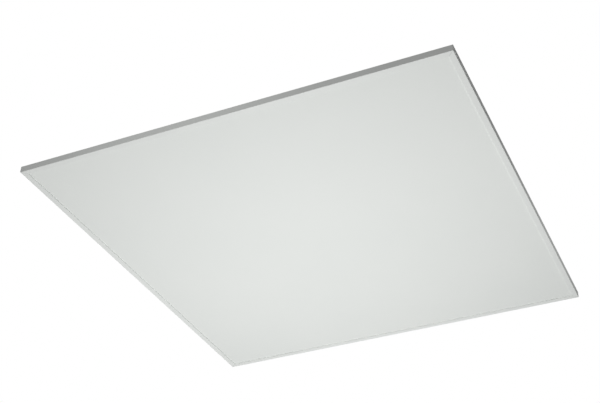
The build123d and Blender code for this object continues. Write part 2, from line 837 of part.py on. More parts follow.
# ---- driver --------------------------------------------------------------------------------
def make_driver_case():
    x0, x1, w = driver_x0, driver_x1, driver_width / 2
    t = driver_wall
    base = block(x0, x1, -w, w, floor_top, driver_split)
    base = fillet(base.edges().filter_by(Axis.Z), driver_corner_round)
    base -= block(x0 + t, x1 - t, -w + t, w - t, floor_top + t, driver_split)
    ear_top = floor_top + driver_ear_thickness
    for side in (-1, 1):
        y = side * driver_ear_y
        y0, y1 = y - driver_ear_width / 2, y + driver_ear_width / 2
        base += block(x0 - driver_ear, x0 + t, y0, y1, floor_top, ear_top)
        base += block(x1 - t, x1 + driver_ear, y0, y1, floor_top, ear_top)
    inset = t + driver_post
    for bx in (x0 + inset, x1 - inset):
        for by in (-w + inset, w - inset):
            base += rod(driver_post, floor_top + t, board_z, bx, by)
    for x, y, grip in tray_screw_places():
        if grip == driver_ear_thickness and (x < x0 or x > x1):
            base -= rod(screw_radius + hole_clearance, floor_top, floor_top + grip, x, y)
    base = base - lead_holes()
    save("driver_case_base", base)

    lid = block(x0, x1, -w, w, driver_split, driver_top)
    lid = fillet(lid.edges().filter_by(Axis.Z), driver_corner_round)
    lid = fillet(lid.faces().sort_by(Axis.Z)[-1].edges(), driver_lid_round)
    lid -= block(x0 + t, x1 - t, -w + t, w - t, driver_split, driver_top - t)
    slot = selector_knob / 2 + selector_travel + selector_knob_gap
    side = selector_knob / 2 + selector_knob_gap
    for x in selector_places:
        lid -= block(x - slot, x + slot, -side, side, driver_top - t, driver_top)
    save("driver_case_lid", lid)


def make_selectors():
    """Two slide switches under the driver's lid, with knobs that stand through its slots."""
    top = driver_top - driver_wall
    bodies = []
    slot = selector_knob / 2 + selector_travel + selector_knob_gap
    side = selector_knob / 2 + selector_knob_gap
    for x in selector_places:
        a, b = selector_body_length / 2, selector_body_width / 2
        body = block(x - a, x + a, -b, b, top - selector_body_height, top)
        body -= block(x - slot, x + slot, -side, side, top - selector_body_height / 2, top)
        bodies.append(body)
    save("selector_switches", Compound(bodies))
    k = selector_knob / 2
    foot = top - selector_body_height / 2 + selector_knob_gap
    stand = box_top + sheet + selector_stand
    for name, x in zip(("colour_selector_knob", "power_selector_knob"), selector_places):
        knob = block(x - k, x + k, -k, k, foot, stand)
        knob = fillet(knob.edges().filter_by(Axis.Y).sort_by(Axis.Z)[-2:], selector_knob_round)
        save(name, knob)


def make_driver_inside():
    t = driver_wall + board_gap
    w = driver_width / 2 - t
    x0, x1 = driver_x0 + t, driver_x1 - t
    save("driver_board", block(x0, x1, -w, w, board_z, board_z + board_thickness))
    low = board_z + board_thickness

    middle = (x0 + x1) / 2
    a, b, high = transformer_length / 2, transformer_width / 2, low + transformer_height
    core = block(middle - a, middle + a, -b, b, low, high)
    core = fillet(core.edges().filter_by(Axis.Z), board_gap)
    wound_a, wound_b = a - winding_inset, b + winding_proud
    wound = block(
        middle - wound_a, middle + wound_a, -wound_b, wound_b, low + winding_lift, high - winding_lift
    )
    save("driver_transformer", core + wound)

    cans = []
    for x, y, radius, height in capacitors:
        can = rod(radius, low, low + height, x0 + x, y)
        cans.append(fillet(can.edges().sort_by(Axis.Z)[-1], board_gap))
    save("driver_capacitors", Compound(cans))

    ring = Pos(x1 - coil_from_end, w / 2, low + coil_wire) * Torus(coil_radius, coil_wire)
    save("driver_coil", ring)

    sink_x, sink_y = x0 + sink_start, -w + board_gap
    sink_length = sink_fins * sink_fin + (sink_fins - 1) * sink_fin_gap
    high = low + sink_height
    sink = block(sink_x, sink_x + sink_length, sink_y, sink_y + sink_base, low, high)
    for i in range(sink_fins):
        x = sink_x + i * (sink_fin + sink_fin_gap)
        sink += block(x, x + sink_fin, sink_y + sink_base, sink_y + sink_depth, low + winding_lift, high)
    save("driver_heat_sink", sink)


# ---- terminal block ------------------------------------------------------------------------
def make_terminal_block():
    x0, x1 = terminal_x0, terminal_x1
    body = block(x0, x1, -terminal_half, terminal_half, floor_top, terminal_top)
    body = fillet(body.edges().filter_by(Axis.Z), terminal_round)
    foot_x, foot_top = (x0 + x1) / 2, floor_top + terminal_foot_thickness
    for side in (-1, 1):
        y0, y1 = sorted((side * terminal_half, side * (terminal_half + terminal_foot)))
        foot = block(foot_x - terminal_foot_half, foot_x + terminal_foot_half, y0, y1, floor_top, foot_top)
        hole_y = side * (terminal_half + terminal_foot / 2)
        foot -= rod(screw_radius + hole_clearance, floor_top, foot_top, foot_x, hole_y)
        body += foot
    recess_low = lever_z - lever_end_radius - lever_side_gap
    recess_x = lever_x - lever_end_radius - lever_side_gap
    cage_x0, cage_x1 = x0 + clamp_inset, x1 - clamp_inset
    clamps = []
    for y, name in zip(poles, ("line", "neutral", "earth")):
        r = lever_recess / 2
        body -= block(recess_x, x1, y - r, y + r, recess_low, terminal_top)
        reach = lever_width / 2 + lever_trunnion_reach + lever_side_gap
        bore = lever_trunnion_radius + lever_running
        body -= rod_y(bore, y - reach, y + reach, lever_x, lever_z)
        body -= rod_x(wire_entry_radius, x0, x1, y, wire_entry_z)
        body -= square_tube(cage_x0 - clamp_gap, cage_x1 + clamp_gap, y, clamp_half + clamp_gap)
        clamps.append(
            square_tube(cage_x0, cage_x1, y, clamp_half)
            - square_tube(cage_x0, cage_x1, y, clamp_half - sheet)
        )
        save(f"terminal_lever_{name}", lever(y))
    save("terminal_block", body)
    save("terminal_clamps", Compound(clamps))


def square_tube(x0, x1, y, r):
    """A square bar along X at the height of the wire entries, r from its middle to each face."""
    return block(x0, x1, y - r, y + r, wire_entry_z - r, wire_entry_z + r)


def lever(y):
    """A lever with stub trunnions at its rear end and a finger tab at its front."""
    w = lever_width / 2
    end = rod_y(lever_end_radius, y - w, y + w, lever_x, lever_z)
    top = lever_z + lever_end_radius
    arm = block(lever_x, lever_x + lever_reach, y - w, y + w, top - lever_thickness, top)
    shape = end + arm
    tip = shape.edges().filter_by(Axis.Y).group_by(Axis.X)[-1]
    shape = fillet(tip, lever_tip_round)
    reach = w + lever_trunnion_reach
    return shape + rod_y(lever_trunnion_radius, y - reach, y + reach, lever_x, lever_z)


# ---- leads ---------------------------------------------------------------------------------
def lead(points, radii, name):
    """A round lead along straight runs joined by arcs. Prints its radii and its volume check."""
    path = FilletPolyline(*points, radius=radii) if radii else Line(points[0], points[-1])
    start = path @ 0
    shape = sweep(Plane(origin=start, z_dir=path % 0) * Circle(lead_radius), path=path)
    expected = math.pi * lead_radius**2 * path.length
    print(name, "radii", radii, "volume ratio", round(shape.volume / expected, 4))
    return shape


def arc_radii(points):
    """The radius at each corner: 0.45 of the shorter run over the tangent of half the turn."""
    vectors = [Vector(*p) for p in points]
    radii = []
    for a, b, c in zip(vectors, vectors[1:], vectors[2:]):
        turn = math.radians((b - a).get_angle(c - b))
        radii.append(0.45 * min((b - a).length, (c - b).length) / math.tan(turn / 2))
    return radii


def lead_holes():
    """Exits in the driver's case for the supply leads and the output leads."""
    t = driver_wall
    r = lead_radius + hole_clearance
    holes = []
    for side in (-1, 1):
        holes.append(rod_x(r, driver_x1 - t, driver_x1, side * driver_lead_spread, driver_lead_z))
        holes.append(rod_x(r, driver_x0, driver_x0 + t, side * ribbon_y, driver_lead_z))
    return holes


def make_leads():
    block_x = terminal_x0 + lead_end_run
    inside = driver_x1 - driver_wall - lead_end_run
    mid_a = terminal_x0 - lead_exit_run
    mid_b = driver_x1 + lead_exit_run
    for y, side, name in ((poles[0], -1, "lead_line"), (poles[1], 1, "lead_neutral")):
        points = [
            (block_x, y, wire_entry_z),
            (mid_a, y, wire_entry_z),
            (mid_b, side * driver_lead_spread, driver_lead_z),
            (inside, side * driver_lead_spread, driver_lead_z),
        ]
        save(name, lead(points, arc_radii(points), name))

    lug_z = floor_top + earth_lug_thickness + lead_radius
    points = [
        (block_x, poles[2], wire_entry_z),
        (mid_a - lead_end_run, poles[2], wire_entry_z),
        (mid_a - lead_end_run, earth_y, wire_entry_z - earth_lead_drop),
        (terminal_x1 - lead_end_run, earth_y + earth_lead_bow, lug_z + earth_lead_drop),
        (earth_x - earth_lug_radius - lead_radius, earth_y, lug_z),
    ]
    save("lead_earth", lead(points, arc_radii(points), "lead_earth"))

    outputs = []
    for side in (-1, 1):
        start = (driver_x0 + driver_wall + lead_end_run, side * ribbon_y, driver_lead_z)
        end = (grommet_x + connector_length / 2, side * ribbon_y, driver_lead_z)
        outputs.append(lead([start, end], None, "output_leads"))
    save("output_leads", Compound(outputs))


def make_strip_leads():
    """Flat leads from the connector down through the grommet to the two diode boards."""
    outer = half - frame_wall - led_board_thickness - ribbon_thickness / 2 - ribbon_top_gap
    low = diffuser_top + guide_thickness / 2
    ribbons = []
    for side in (-1, 1):
        x = grommet_x + side * (ribbon_bend + ribbon_thickness)
        points = ((x, connector_z), (x, ribbon_z), (side * outer, ribbon_z), (side * outer, low))
        section = Plane.XZ * bent_sheet(points, ribbon_thickness, ribbon_fold)
        ribbon = extrude(section, amount=ribbon_width / 2, both=True)
        ribbons.append(Pos(0, side * ribbon_y, 0) * ribbon)
    save("strip_leads", Compound(ribbons))


def make_output_fittings():
    x = grommet_x
    low, high = plate_bottom, floor_top
    grommet = rod(grommet_neck, low, high) + rod(grommet_flange, high, high + grommet_lip)
    grommet += rod(grommet_flange, low - grommet_lip, low)
    rim = grommet.edges().filter_by(GeomType.CIRCLE).group_by(Axis.Z)[-1]
    grommet = fillet(rim, grommet_round)
    grommet -= rod(grommet_bore, low - grommet_lip, high + grommet_lip)
    save("output_grommet", Pos(x, 0, 0) * grommet)

    a, b = connector_length / 2, connector_width / 2
    housing = block(x - a, x + a, -b, b, connector_z, connector_z + connector_height)
    save("output_connector", fillet(housing.edges().filter_by(Axis.Z), connector_round))


def make_earth_screw():
    seat = floor_top + earth_lug_thickness
    lug = rod(earth_lug_radius, floor_top, seat, earth_x, earth_y)
    back = earth_x - earth_lug_radius - earth_lug_tail
    tail = lead_radius + sheet / 2
    lug += block(back, earth_x, earth_y - tail, earth_y + tail, floor_top, seat)
    lug -= rod(earth_screw_radius + hole_clearance, floor_top, seat, earth_x, earth_y)
    save("earth_lug", lug)
    head = rod(earth_head_radius, seat, seat + earth_head_height)
    head = fillet(head.edges().sort_by(Axis.Z)[-1], earth_head_round)
    r, top = earth_head_radius, seat + earth_head_height
    slot = block(-r, r, -earth_slot / 2, earth_slot / 2, top - earth_head_height / 2, top)
    screw = head - slot + rod(earth_screw_radius, plate_top + screw_tip_gap, seat)
    save("earth_screw", Pos(earth_x, earth_y, 0) * screw)


# ---- hold-down clips and suspension tabs ---------------------------------------------------
def clip_place(sx, sy):
    """From a clip drawn at the origin, pointing to +Y, to its place on the front or back edge."""
    turn = 0 if sy < 0 else 180
    return Pos(sx * clip_offset, sy * (half - clip_inset), 0) * Rot(0, 0, turn)


def clip_arm():
    """Folded arm: knuckle, flat arm, hook over the grid's bulb and a short return."""
    offset = clip_z + clip_knuckle - sheet / 2
    reach = clip_reach + sheet / 2
    tip = offset + clip_hook
    points = ((0, offset), (reach, offset), (reach, tip), (reach - clip_return, tip))
    section = bent_sheet(points, sheet, bend_radius)
    arm = extrude(Plane.YZ * section, amount=clip_width / 2, both=True)
    w = clip_width / 2
    arm += rod_x(clip_knuckle, -w, w, 0, clip_z)
    return arm - rod_x(clip_pin_radius + clip_running, -w, w, 0, clip_z)


def clip_bracket():
    """Riveted base with two ears that carry the pin."""
    outer = bracket_outer - clip_inset
    inner = outer + bracket_length
    low, high = plate_top, plate_top + bracket_thickness
    base = block(-bracket_half - bracket_flange, bracket_half + bracket_flange, outer, inner, low, high)
    base = fillet(base.edges().filter_by(Axis.Z), bracket_round)
    ear_top = clip_z + clip_knuckle
    w = clip_knuckle + bracket_thickness / 2
    for side in (-1, 1):
        x0, x1 = sorted((side * bracket_half, side * (bracket_half - bracket_thickness)))
        ear = block(x0, x1, -w, w, low, ear_top)
        ear = fillet(ear.edges().filter_by(Axis.X).group_by(Axis.Z)[-1], bracket_ear_round)
        base += ear
        base -= rod_x(clip_pin_radius + thread_clearance, x0, x1, 0, clip_z)
    rivet_y_place = bracket_rivet_y() - clip_inset
    for side in (-1, 1):
        base -= rod(rivet_radius, low, high, side * (bracket_half + bracket_flange / 2), rivet_y_place)
    return base


def make_clips():
    arm, bracket = clip_arm(), clip_bracket()
    reach = bracket_half + bracket_thickness / 2
    pin = rod_x(clip_pin_radius, -reach, reach, 0, clip_z)
    brackets, pins = [], []
    for (sx, sy), name in zip(clip_corners, clip_names):
        place = clip_place(sx, sy)
        save(f"hold_down_clip_{name}", place * arm)
        brackets.append(place * bracket)
        pins.append(place * pin)
    save("clip_brackets", Compound(brackets))
    save("clip_pins", Compound(pins))


def suspension_tab():
    """A joggled tab: foot on the plate towards the middle, shelf with a hole above it."""
    low = plate_top + tab_sheet / 2
    high = low + tab_rise
    edge = tab_shelf / 2
    foot_end = -edge - tab_foot
    points = ((foot_end, low), (-edge, low), (-edge, high), (edge, high))
    tab = extrude(Plane.XZ * bent_sheet(points, tab_sheet, tab_bend), amount=tab_width / 2, both=True)
    tab -= rod(suspension_hole_radius, high - tab_sheet, high + tab_sheet)
    for side in (-1, 1):
        y = side * tab_width / 4
        tab -= rod(rivet_radius, plate_top, plate_top + tab_sheet, -edge - tab_foot / 2, y)
    return tab


def make_tabs():
    tab = suspension_tab()
    tabs = []
    for x, y, sx in tab_places():
        turn = 0 if sx > 0 else 180
        tabs.append(Pos(x, y, 0) * Rot(0, 0, turn) * tab)
    save("suspension_tabs", Compound(tabs))

    rivets = []
    for i, (x, y) in enumerate(fixing_rivet_places()):
        grip = bracket_thickness if i < 2 * len(clip_corners) else tab_sheet
        rivets.append(rivet(x, y, plate_bottom, plate_top + grip))
    save("fixing_rivets", Compound(rivets))


def main():
    os.makedirs("parts", exist_ok=True)
    make_frame()
    make_corner_keys()
    make_optics()
    make_led_strips()
    make_back_plate()
    make_foam()
    make_tray()
    make_end_plates()
    make_bushing()
    make_partition()
    make_driver_cover()
    make_access_cover()
    make_latch()
    make_driver_case()
    make_selectors()
    make_driver_inside()
    make_terminal_block()
    make_leads()
    make_strip_leads()
    make_output_fittings()
    make_earth_screw()
    make_clips()
    make_tabs()


main()
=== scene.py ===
import math

import bmesh
import bpy
import numpy as np
from mathutils import Euler, Matrix, Vector


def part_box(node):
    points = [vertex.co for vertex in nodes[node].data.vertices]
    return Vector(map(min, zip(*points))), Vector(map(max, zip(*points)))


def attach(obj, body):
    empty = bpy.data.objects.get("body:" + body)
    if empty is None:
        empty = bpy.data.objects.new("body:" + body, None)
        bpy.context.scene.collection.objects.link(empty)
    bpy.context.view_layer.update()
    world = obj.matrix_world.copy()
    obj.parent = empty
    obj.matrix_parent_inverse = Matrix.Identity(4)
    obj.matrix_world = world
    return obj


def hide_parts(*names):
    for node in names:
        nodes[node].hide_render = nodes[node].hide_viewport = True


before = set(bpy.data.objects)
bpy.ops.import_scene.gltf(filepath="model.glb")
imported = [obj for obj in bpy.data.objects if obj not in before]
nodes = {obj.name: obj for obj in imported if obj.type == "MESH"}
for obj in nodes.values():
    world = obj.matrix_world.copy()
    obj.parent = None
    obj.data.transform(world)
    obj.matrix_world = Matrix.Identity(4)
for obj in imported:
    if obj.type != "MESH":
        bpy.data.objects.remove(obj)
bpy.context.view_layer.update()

mm = 0.001  # shapes are worked out in millimetres, lights and finishes in metres
print("frame loaded:", len(nodes), "nodes")

# the camera's place and turn are fitted to the panel's outline in the photograph
cameraSettings = {
    "place": (0.5644, -1.2286, -0.8981),
    "turn": (125.520, -0.105, 23.009),  # degrees about x, y and z
    "lens": 68.72,
    "sensor": 36.0,
    "shift": -0.08,  # the picture is a crop, its middle lies left of the optical axis
    "nearest": 0.01,
    "farthest": 200.0,
}


def addCamera(settings):
    data = bpy.data.cameras.new("camera")
    data.lens, data.sensor_width, data.shift_x = (settings[k] for k in ("lens", "sensor", "shift"))
    data.clip_start, data.clip_end = settings["nearest"], settings["farthest"]
    camera = bpy.data.objects.new("camera", data)
    bpy.context.scene.collection.objects.link(camera)
    turn = Euler([math.radians(v) for v in settings["turn"]])
    camera.matrix_world = Matrix.Translation(settings["place"]) @ turn.to_matrix().to_4x4()
    bpy.context.scene.camera = camera


# a pale room that is darker on the right, a long soft box under the panel, two small lamps that
# face its front and right edges, and a broad far lamp above
lightSettings = {
    "room": {"level": 0.24, "rightwards": -0.16, "upwards": 0.2},
    "softBoxes": {
        "faceBox": {"place": (-0.055, 0.045, -0.90), "towards": (0.0, 0.0, 1.0),
                    "along": (-0.588, 0.809, 0.0), "size": (1.0, 0.1), "power": 6.35},
        "frontEdgeBox": {"place": (-0.06, -0.60, 0.0045), "towards": (0.0, 1.0, 0.0),
                         "along": (1.0, 0.0, 0.0), "size": (0.12, 0.006), "power": 0.17},
        "rightEdgeBox": {"place": (0.58, 0.16, 0.0045), "towards": (-1.0, 0.0, 0.0),
                         "along": (0.0, 1.0, 0.0), "size": (0.12, 0.006), "power": 0.157},
    },
    "farLamp": {"from": (-0.30, 0.40, 0.87), "spread": 60.0, "strength": 1.4},
    "floor": {"depth": -2.7, "reach": 90.0, "tone": (0.79, 0.79, 0.78), "roughness": 0.9},
}


def addRoom(settings):
    # light = level + rightwards x + upwards z where z is positive; the camera sees plain white
    world = bpy.data.worlds.new("paleRoom")
    bpy.context.scene.world = world
    world.use_nodes = True
    tree = world.node_tree
    x, _, z = axes(tree, add(tree, "ShaderNodeTexCoord").outputs["Generated"])
    side = maths(tree, "MULTIPLY_ADD", x, settings["rightwards"], settings["level"])
    light = maths(tree, "MULTIPLY_ADD", maths(tree, "MAXIMUM", z, 0.0), settings["upwards"], side)
    seen = add(tree, "ShaderNodeLightPath").outputs["Is Camera Ray"]
    strength = maths(tree, "MAXIMUM", light, seen)
    fill(tree, tree.nodes["Background"], {"Strength": strength, "Color": (1.0, 1.0, 1.0, 1.0)})


def addLamp(name, data, place, towards, along):
    # the lamp shines towards, and its longer side lies along
    lamp = bpy.data.objects.new(name, data)
    bpy.context.scene.collection.objects.link(lamp)
    back, first = -Vector(towards), Vector(along).normalized()
    turn = Matrix([first, back.cross(first), back]).transposed().to_4x4()
    lamp.matrix_world = Matrix.Translation(place) @ turn
    lamp.visible_camera = False


def addSoftBox(name, settings):
    data = bpy.data.lights.new(name, "AREA")
    data.shape = "RECTANGLE"
    data.size, data.size_y = settings["size"]
    data.energy = settings["power"]
    addLamp(name, data, settings["place"], settings["towards"], settings["along"])


def addFarLamp(settings):
    data = bpy.data.lights.new("farLamp", "SUN")
    data.angle = math.radians(settings["spread"])
    data.energy = settings["strength"]
    source = Vector(settings["from"]).normalized()
    addLamp("farLamp", data, source, -source, source.orthogonal())


def addFloor(settings):
    reach, depth = settings["reach"], settings["depth"]
    corners = [(x * reach, y * reach, depth) for x, y in ((-1, -1), (1, -1), (1, 1), (-1, 1))]
    mesh = bpy.data.meshes.new("floor")
    mesh.from_pydata(corners, [], [(0, 1, 2, 3)])
    floor = bpy.data.objects.new("floor", mesh)
    bpy.context.scene.collection.objects.link(floor)
    mesh.materials.append(makeFinish("floorPaint", plainLook, settings))
    floor.visible_diffuse = False  # the panel's walls stay as dark as the room leaves them


# small helpers that keep the materials short

def makeFinish(name, recipe, settings):
    # a recipe works out the shader's inputs from its settings and the place on the piece
    material = bpy.data.materials.new(name)
    material.use_nodes = True
    tree = material.node_tree
    place = add(tree, "ShaderNodeTexCoord").outputs["Object"]
    fill(tree, tree.nodes["Principled BSDF"], recipe(tree, place, settings))
    return material


def fill(tree, node, inputs):
    # inputs are numbers, colours or other nodes' sockets
    for key, value in inputs.items():
        if isinstance(value, bpy.types.NodeSocket):
            tree.links.new(value, node.inputs[key])
        else:
            node.inputs[key].default_value = value


def add(tree, kind, inputs=None, **options):
    # a new node, whose own settings are the options
    made = tree.nodes.new(kind)
    for key, value in options.items():
        setattr(made, key, value)
    fill(tree, made, inputs or {})
    return made


def scaled(tree, place, scale):
    return add(tree, "ShaderNodeMapping", {"Vector": place, "Scale": scale}).outputs["Vector"]


def ranged(tree, value, low, high, toLow, toHigh):
    inputs = {"Value": value, "From Min": low, "From Max": high, "To Min": toLow, "To Max": toHigh}
    return add(tree, "ShaderNodeMapRange", inputs).outputs["Result"]


def maths(tree, operation, *values):
    return add(tree, "ShaderNodeMath", dict(enumerate(values)), operation=operation).outputs[0]


def mixed(tree, share, first, second):
    def tone(value):
        return value if isinstance(value, bpy.types.NodeSocket) else (*value, 1.0)
    inputs = {0: share, 6: tone(first), 7: tone(second)}  # the node's colour sockets are 6 and 7
    return add(tree, "ShaderNodeMix", inputs, data_type="RGBA").outputs[2]


def axes(tree, place):
    split = add(tree, "ShaderNodeSeparateXYZ", {"Vector": place})
    return split.outputs["X"], split.outputs["Y"], split.outputs["Z"]


def noise(tree, place, scale, detail=2.0, roughness=0.5):
    inputs = {"Vector": place, "Scale": scale, "Detail": detail, "Roughness": roughness}
    return add(tree, "ShaderNodeTexNoise", inputs).outputs["Fac"]


def cellular(tree, place, scale, astray=1.0):
    inputs = {"Vector": place, "Scale": scale, "Randomness": astray}
    return add(tree, "ShaderNodeTexVoronoi", inputs)


def near(tree, value, centre, reach, softness):
    # 1 where value is within reach of centre, falling to 0 over softness
    away = maths(tree, "ABSOLUTE", maths(tree, "SUBTRACT", value, centre))
    return ranged(tree, away, reach, reach + softness, 1.0, 0.0)


edgeWear = {"samples": 6, "starts": 0.97, "full": 0.80}  # wear starts and is full at these cosines


def softEdge(tree, radius):
    # rounded edges as light sees them, and wear by how far a point has turned away from its flat face
    bevel = add(tree, "ShaderNodeBevel", {"Radius": radius}, samples=edgeWear["samples"])
    rounded = bevel.outputs["Normal"]
    flat = add(tree, "ShaderNodeNewGeometry").outputs["Normal"]
    dot = add(tree, "ShaderNodeVectorMath", {0: rounded, 1: flat}, operation="DOT_PRODUCT")
    return rounded, ranged(tree, dot.outputs["Value"], edgeWear["starts"], edgeWear["full"], 0.0, 1.0)


def bump(tree, height, depth, under=None):
    inputs = {"Height": height, "Distance": depth}
    if under is not None:
        inputs["Normal"] = under
    return add(tree, "ShaderNodeBump", inputs).outputs["Normal"]


# paints, metals and plastics: two tones, the scale of their patches, the range of the roughness,
# the scale and depth of the grain, the radius of the edges and the tone that they are rubbed to
facePaint = {
    "tones": ((0.848, 0.874, 0.850), (0.860, 0.884, 0.860)), "patch": 5.0, "roughness": (0.52, 0.62),
    "grain": 1400.0, "depth": 0.000012, "edgeRadius": 0.0002, "specular": 0.35,
}
railPaint = {
    "tones": ((0.840, 0.862, 0.842), (0.858, 0.880, 0.858)), "patch": 14.0, "roughness": (0.42, 0.52),
    "grain": 2600.0, "depth": 0.000018, "edgeRadius": 0.00035, "specular": 0.4,
    "seamTone": (0.42, 0.44, 0.43), "seamWidth": 0.00013, "seamSoftness": 0.00008, "seamPatch": 900.0,
    "seamUneven": (0.3, 0.7, 0.55, 1.0),
}
platePaint = {
    "tones": ((0.79, 0.80, 0.79), (0.83, 0.84, 0.83)), "patch": 6.0, "roughness": (0.38, 0.52),
    "grain": 700.0, "depth": 0.00006, "edgeRadius": 0.0006, "edgeMix": (1.0, 0.0, 0.05), "specular": 0.45,
}
# the rubbed edge's tone = gain times the light tone + grey times its brightest part + lift
anyMetal = {
    "patch": 30.0, "grain": 2400.0, "depth": 0.00002, "metallic": 1.0,
    "edgeRadius": 0.0002, "edgeMix": (1.25, 0.0, 0.0),
}
metals = {
    "springSteel": {"tones": ((0.40, 0.40, 0.40), (0.50, 0.50, 0.495)), "roughness": (0.26, 0.38),
                    "stretch": (1.0, 0.06, 1.0)},
    "platedSteel": {"tones": ((0.60, 0.61, 0.60), (0.70, 0.70, 0.66)), "roughness": (0.22, 0.34)},
    "rivetAlloy": {"tones": ((0.66, 0.67, 0.68), (0.76, 0.77, 0.78)), "roughness": (0.30, 0.42),
                   "stretch": (1.0, 1.0, 0.2)},
    "sinkAlloy": {"tones": ((0.62, 0.63, 0.65), (0.72, 0.73, 0.75)), "roughness": (0.30, 0.40),
                  "stretch": (0.1, 1.0, 1.0)},
    "earthBrass": {"tones": ((0.62, 0.45, 0.18), (0.78, 0.60, 0.28)), "roughness": (0.24, 0.36)},
    "enamelledCopper": {"tones": ((0.50, 0.20, 0.08), (0.66, 0.30, 0.12)), "roughness": (0.16, 0.28)},
}
anyPlastic = {
    "patch": 60.0, "roughness": (0.38, 0.50), "grain": 3200.0, "depth": 0.00002,
    "edgeRadius": 0.0003, "edgeMix": (0.6, 0.4, 0.03),
}
roughPlastic = {"roughness": (0.50, 0.70), "grain": 1700.0, "depth": 0.00005}
plastics = {
    "reflectorFilm": {"tones": ((0.90, 0.90, 0.90), (0.94, 0.94, 0.94)), "roughness": (0.50, 0.60)},
    "blackNylon": {"tones": ((0.018, 0.018, 0.019), (0.035, 0.035, 0.036))},
    "blackRubber": {"tones": ((0.014, 0.014, 0.014), (0.028, 0.027, 0.026)), "roughness": (0.60, 0.80)},
    "ferrite": {"tones": ((0.045, 0.045, 0.050), (0.075, 0.075, 0.080)), **roughPlastic},
    "windingTape": {"tones": ((0.72, 0.52, 0.06), (0.82, 0.62, 0.12)), "roughness": (0.22, 0.34)},
    "canSleeve": {"tones": ((0.02, 0.035, 0.16), (0.04, 0.06, 0.24)), "roughness": (0.20, 0.32)},
    "knobPlastic": {"tones": ((0.80, 0.80, 0.77), (0.88, 0.88, 0.86)), "roughness": (0.30, 0.42)},
    "housingNylon": {"tones": ((0.76, 0.76, 0.73), (0.84, 0.84, 0.81))},
    "whiteInsulation": {"tones": ((0.78, 0.78, 0.76), (0.85, 0.85, 0.83)), "roughness": (0.26, 0.38)},
    "driverCase": {"tones": ((0.66, 0.67, 0.68), (0.74, 0.75, 0.76)), **roughPlastic},
    "terminalHousing": {"tones": ((0.42, 0.43, 0.44), (0.52, 0.53, 0.54))},
    "brownPlastic": {"tones": ((0.14, 0.055, 0.025), (0.20, 0.08, 0.04)), "roughness": (0.28, 0.40)},
    "bluePlastic": {"tones": ((0.02, 0.09, 0.36), (0.04, 0.13, 0.48)), "roughness": (0.28, 0.40)},
    "greenPlastic": {"tones": ((0.03, 0.24, 0.05), (0.06, 0.34, 0.08)), "roughness": (0.28, 0.40)},
    "printedInk": {"tones": ((0.02, 0.02, 0.02), (0.04, 0.04, 0.04)), "roughness": (0.50, 0.60)},
}


def plainLook(tree, place, s):
    # one tone and one roughness all over
    return {"Base Color": (*s["tone"], 1.0), "Roughness": s["roughness"]}


# the part of each noise that counts, and how much finer than the patches the rubbing and the gloss are
variation = {
    "drift": (0.34, 0.66), "driftDetail": 3.0, "rubbed": (0.35, 0.6, 0.2, 1.0), "rubbedFiner": 9.0,
    "gloss": (0.3, 0.7), "glossFiner": 4.0, "grainDetail": 4.0, "grainRoughness": 0.6,
}


def surfaceLook(tree, place, s):
    # tones drift over patches, a fine grain lifts the surface, edges are rounded and rubbed
    vary, patch = variation, s["patch"]
    if "stretch" in s:
        place = scaled(tree, place, s["stretch"])
    drift = ranged(tree, noise(tree, place, patch, vary["driftDetail"]), *vary["drift"], 0.0, 1.0)
    tone = mixed(tree, drift, *s["tones"])
    rounded, edge = softEdge(tree, s["edgeRadius"])
    if "edgeMix" in s:
        gain, grey, lift = s["edgeMix"]
        light = s["tones"][1]
        edgeTone = [min(1.0, part * gain + max(light) * grey + lift) for part in light]
        rub = ranged(tree, noise(tree, place, patch * vary["rubbedFiner"]), *vary["rubbed"])
        tone = mixed(tree, maths(tree, "MULTIPLY", edge, rub), tone, edgeTone)
    gloss = noise(tree, place, patch * vary["glossFiner"])
    grain = noise(tree, place, s["grain"], vary["grainDetail"], vary["grainRoughness"])
    return {
        "Base Color": tone, "Roughness": ranged(tree, gloss, *vary["gloss"], *s["roughness"]),
        "Normal": bump(tree, grain, s["depth"], rounded),
        "Metallic": s.get("metallic", 0.0), "Specular IOR Level": s.get("specular", 0.5),
    }


def railLook(tree, place, s):
    # the rails' paint, with an uneven hairline where x and y are as far from the middle: the mitres
    paint = surfaceLook(tree, place, s)
    x, y, _ = axes(tree, place)
    off = maths(tree, "SUBTRACT", maths(tree, "ABSOLUTE", x), maths(tree, "ABSOLUTE", y))
    seam = near(tree, off, 0.0, s["seamWidth"], s["seamSoftness"])
    uneven = ranged(tree, noise(tree, place, s["seamPatch"]), *s["seamUneven"])
    share = maths(tree, "MULTIPLY", seam, uneven)
    return {**paint, "Base Color": mixed(tree, share, paint["Base Color"], s["seamTone"])}


zincSheet = {
    "dark": (0.36, 0.375, 0.39), "light": (0.62, 0.635, 0.65), "edgeTone": (0.80, 0.81, 0.82),
    "spangle": 95.0,  # crystals per metre
    "fineSpangle": 3.1, "fineShare": 0.35,  # how much finer the small crystals are, and their weight
    "toneRange": (0.1, 0.9, 0.15, 0.85), "edgeShare": 0.6,
    "ragged": 160.0, "raggedReach": 0.006,  # how finely and how far the crystals' borders wander
    "roughness": (0.58, 0.42), "rollMarks": 1500.0, "rollStretch": (0.03, 1.0, 1.0), "crystalRise": 0.4,
    "edgeRadius": 0.0004, "depth": 0.00003, "metallic": 0.82,
}
zincStrip = {
    **zincSheet, "spangle": 240.0, "dark": (0.396, 0.4125, 0.429), "light": (0.682, 0.6985, 0.715),
}


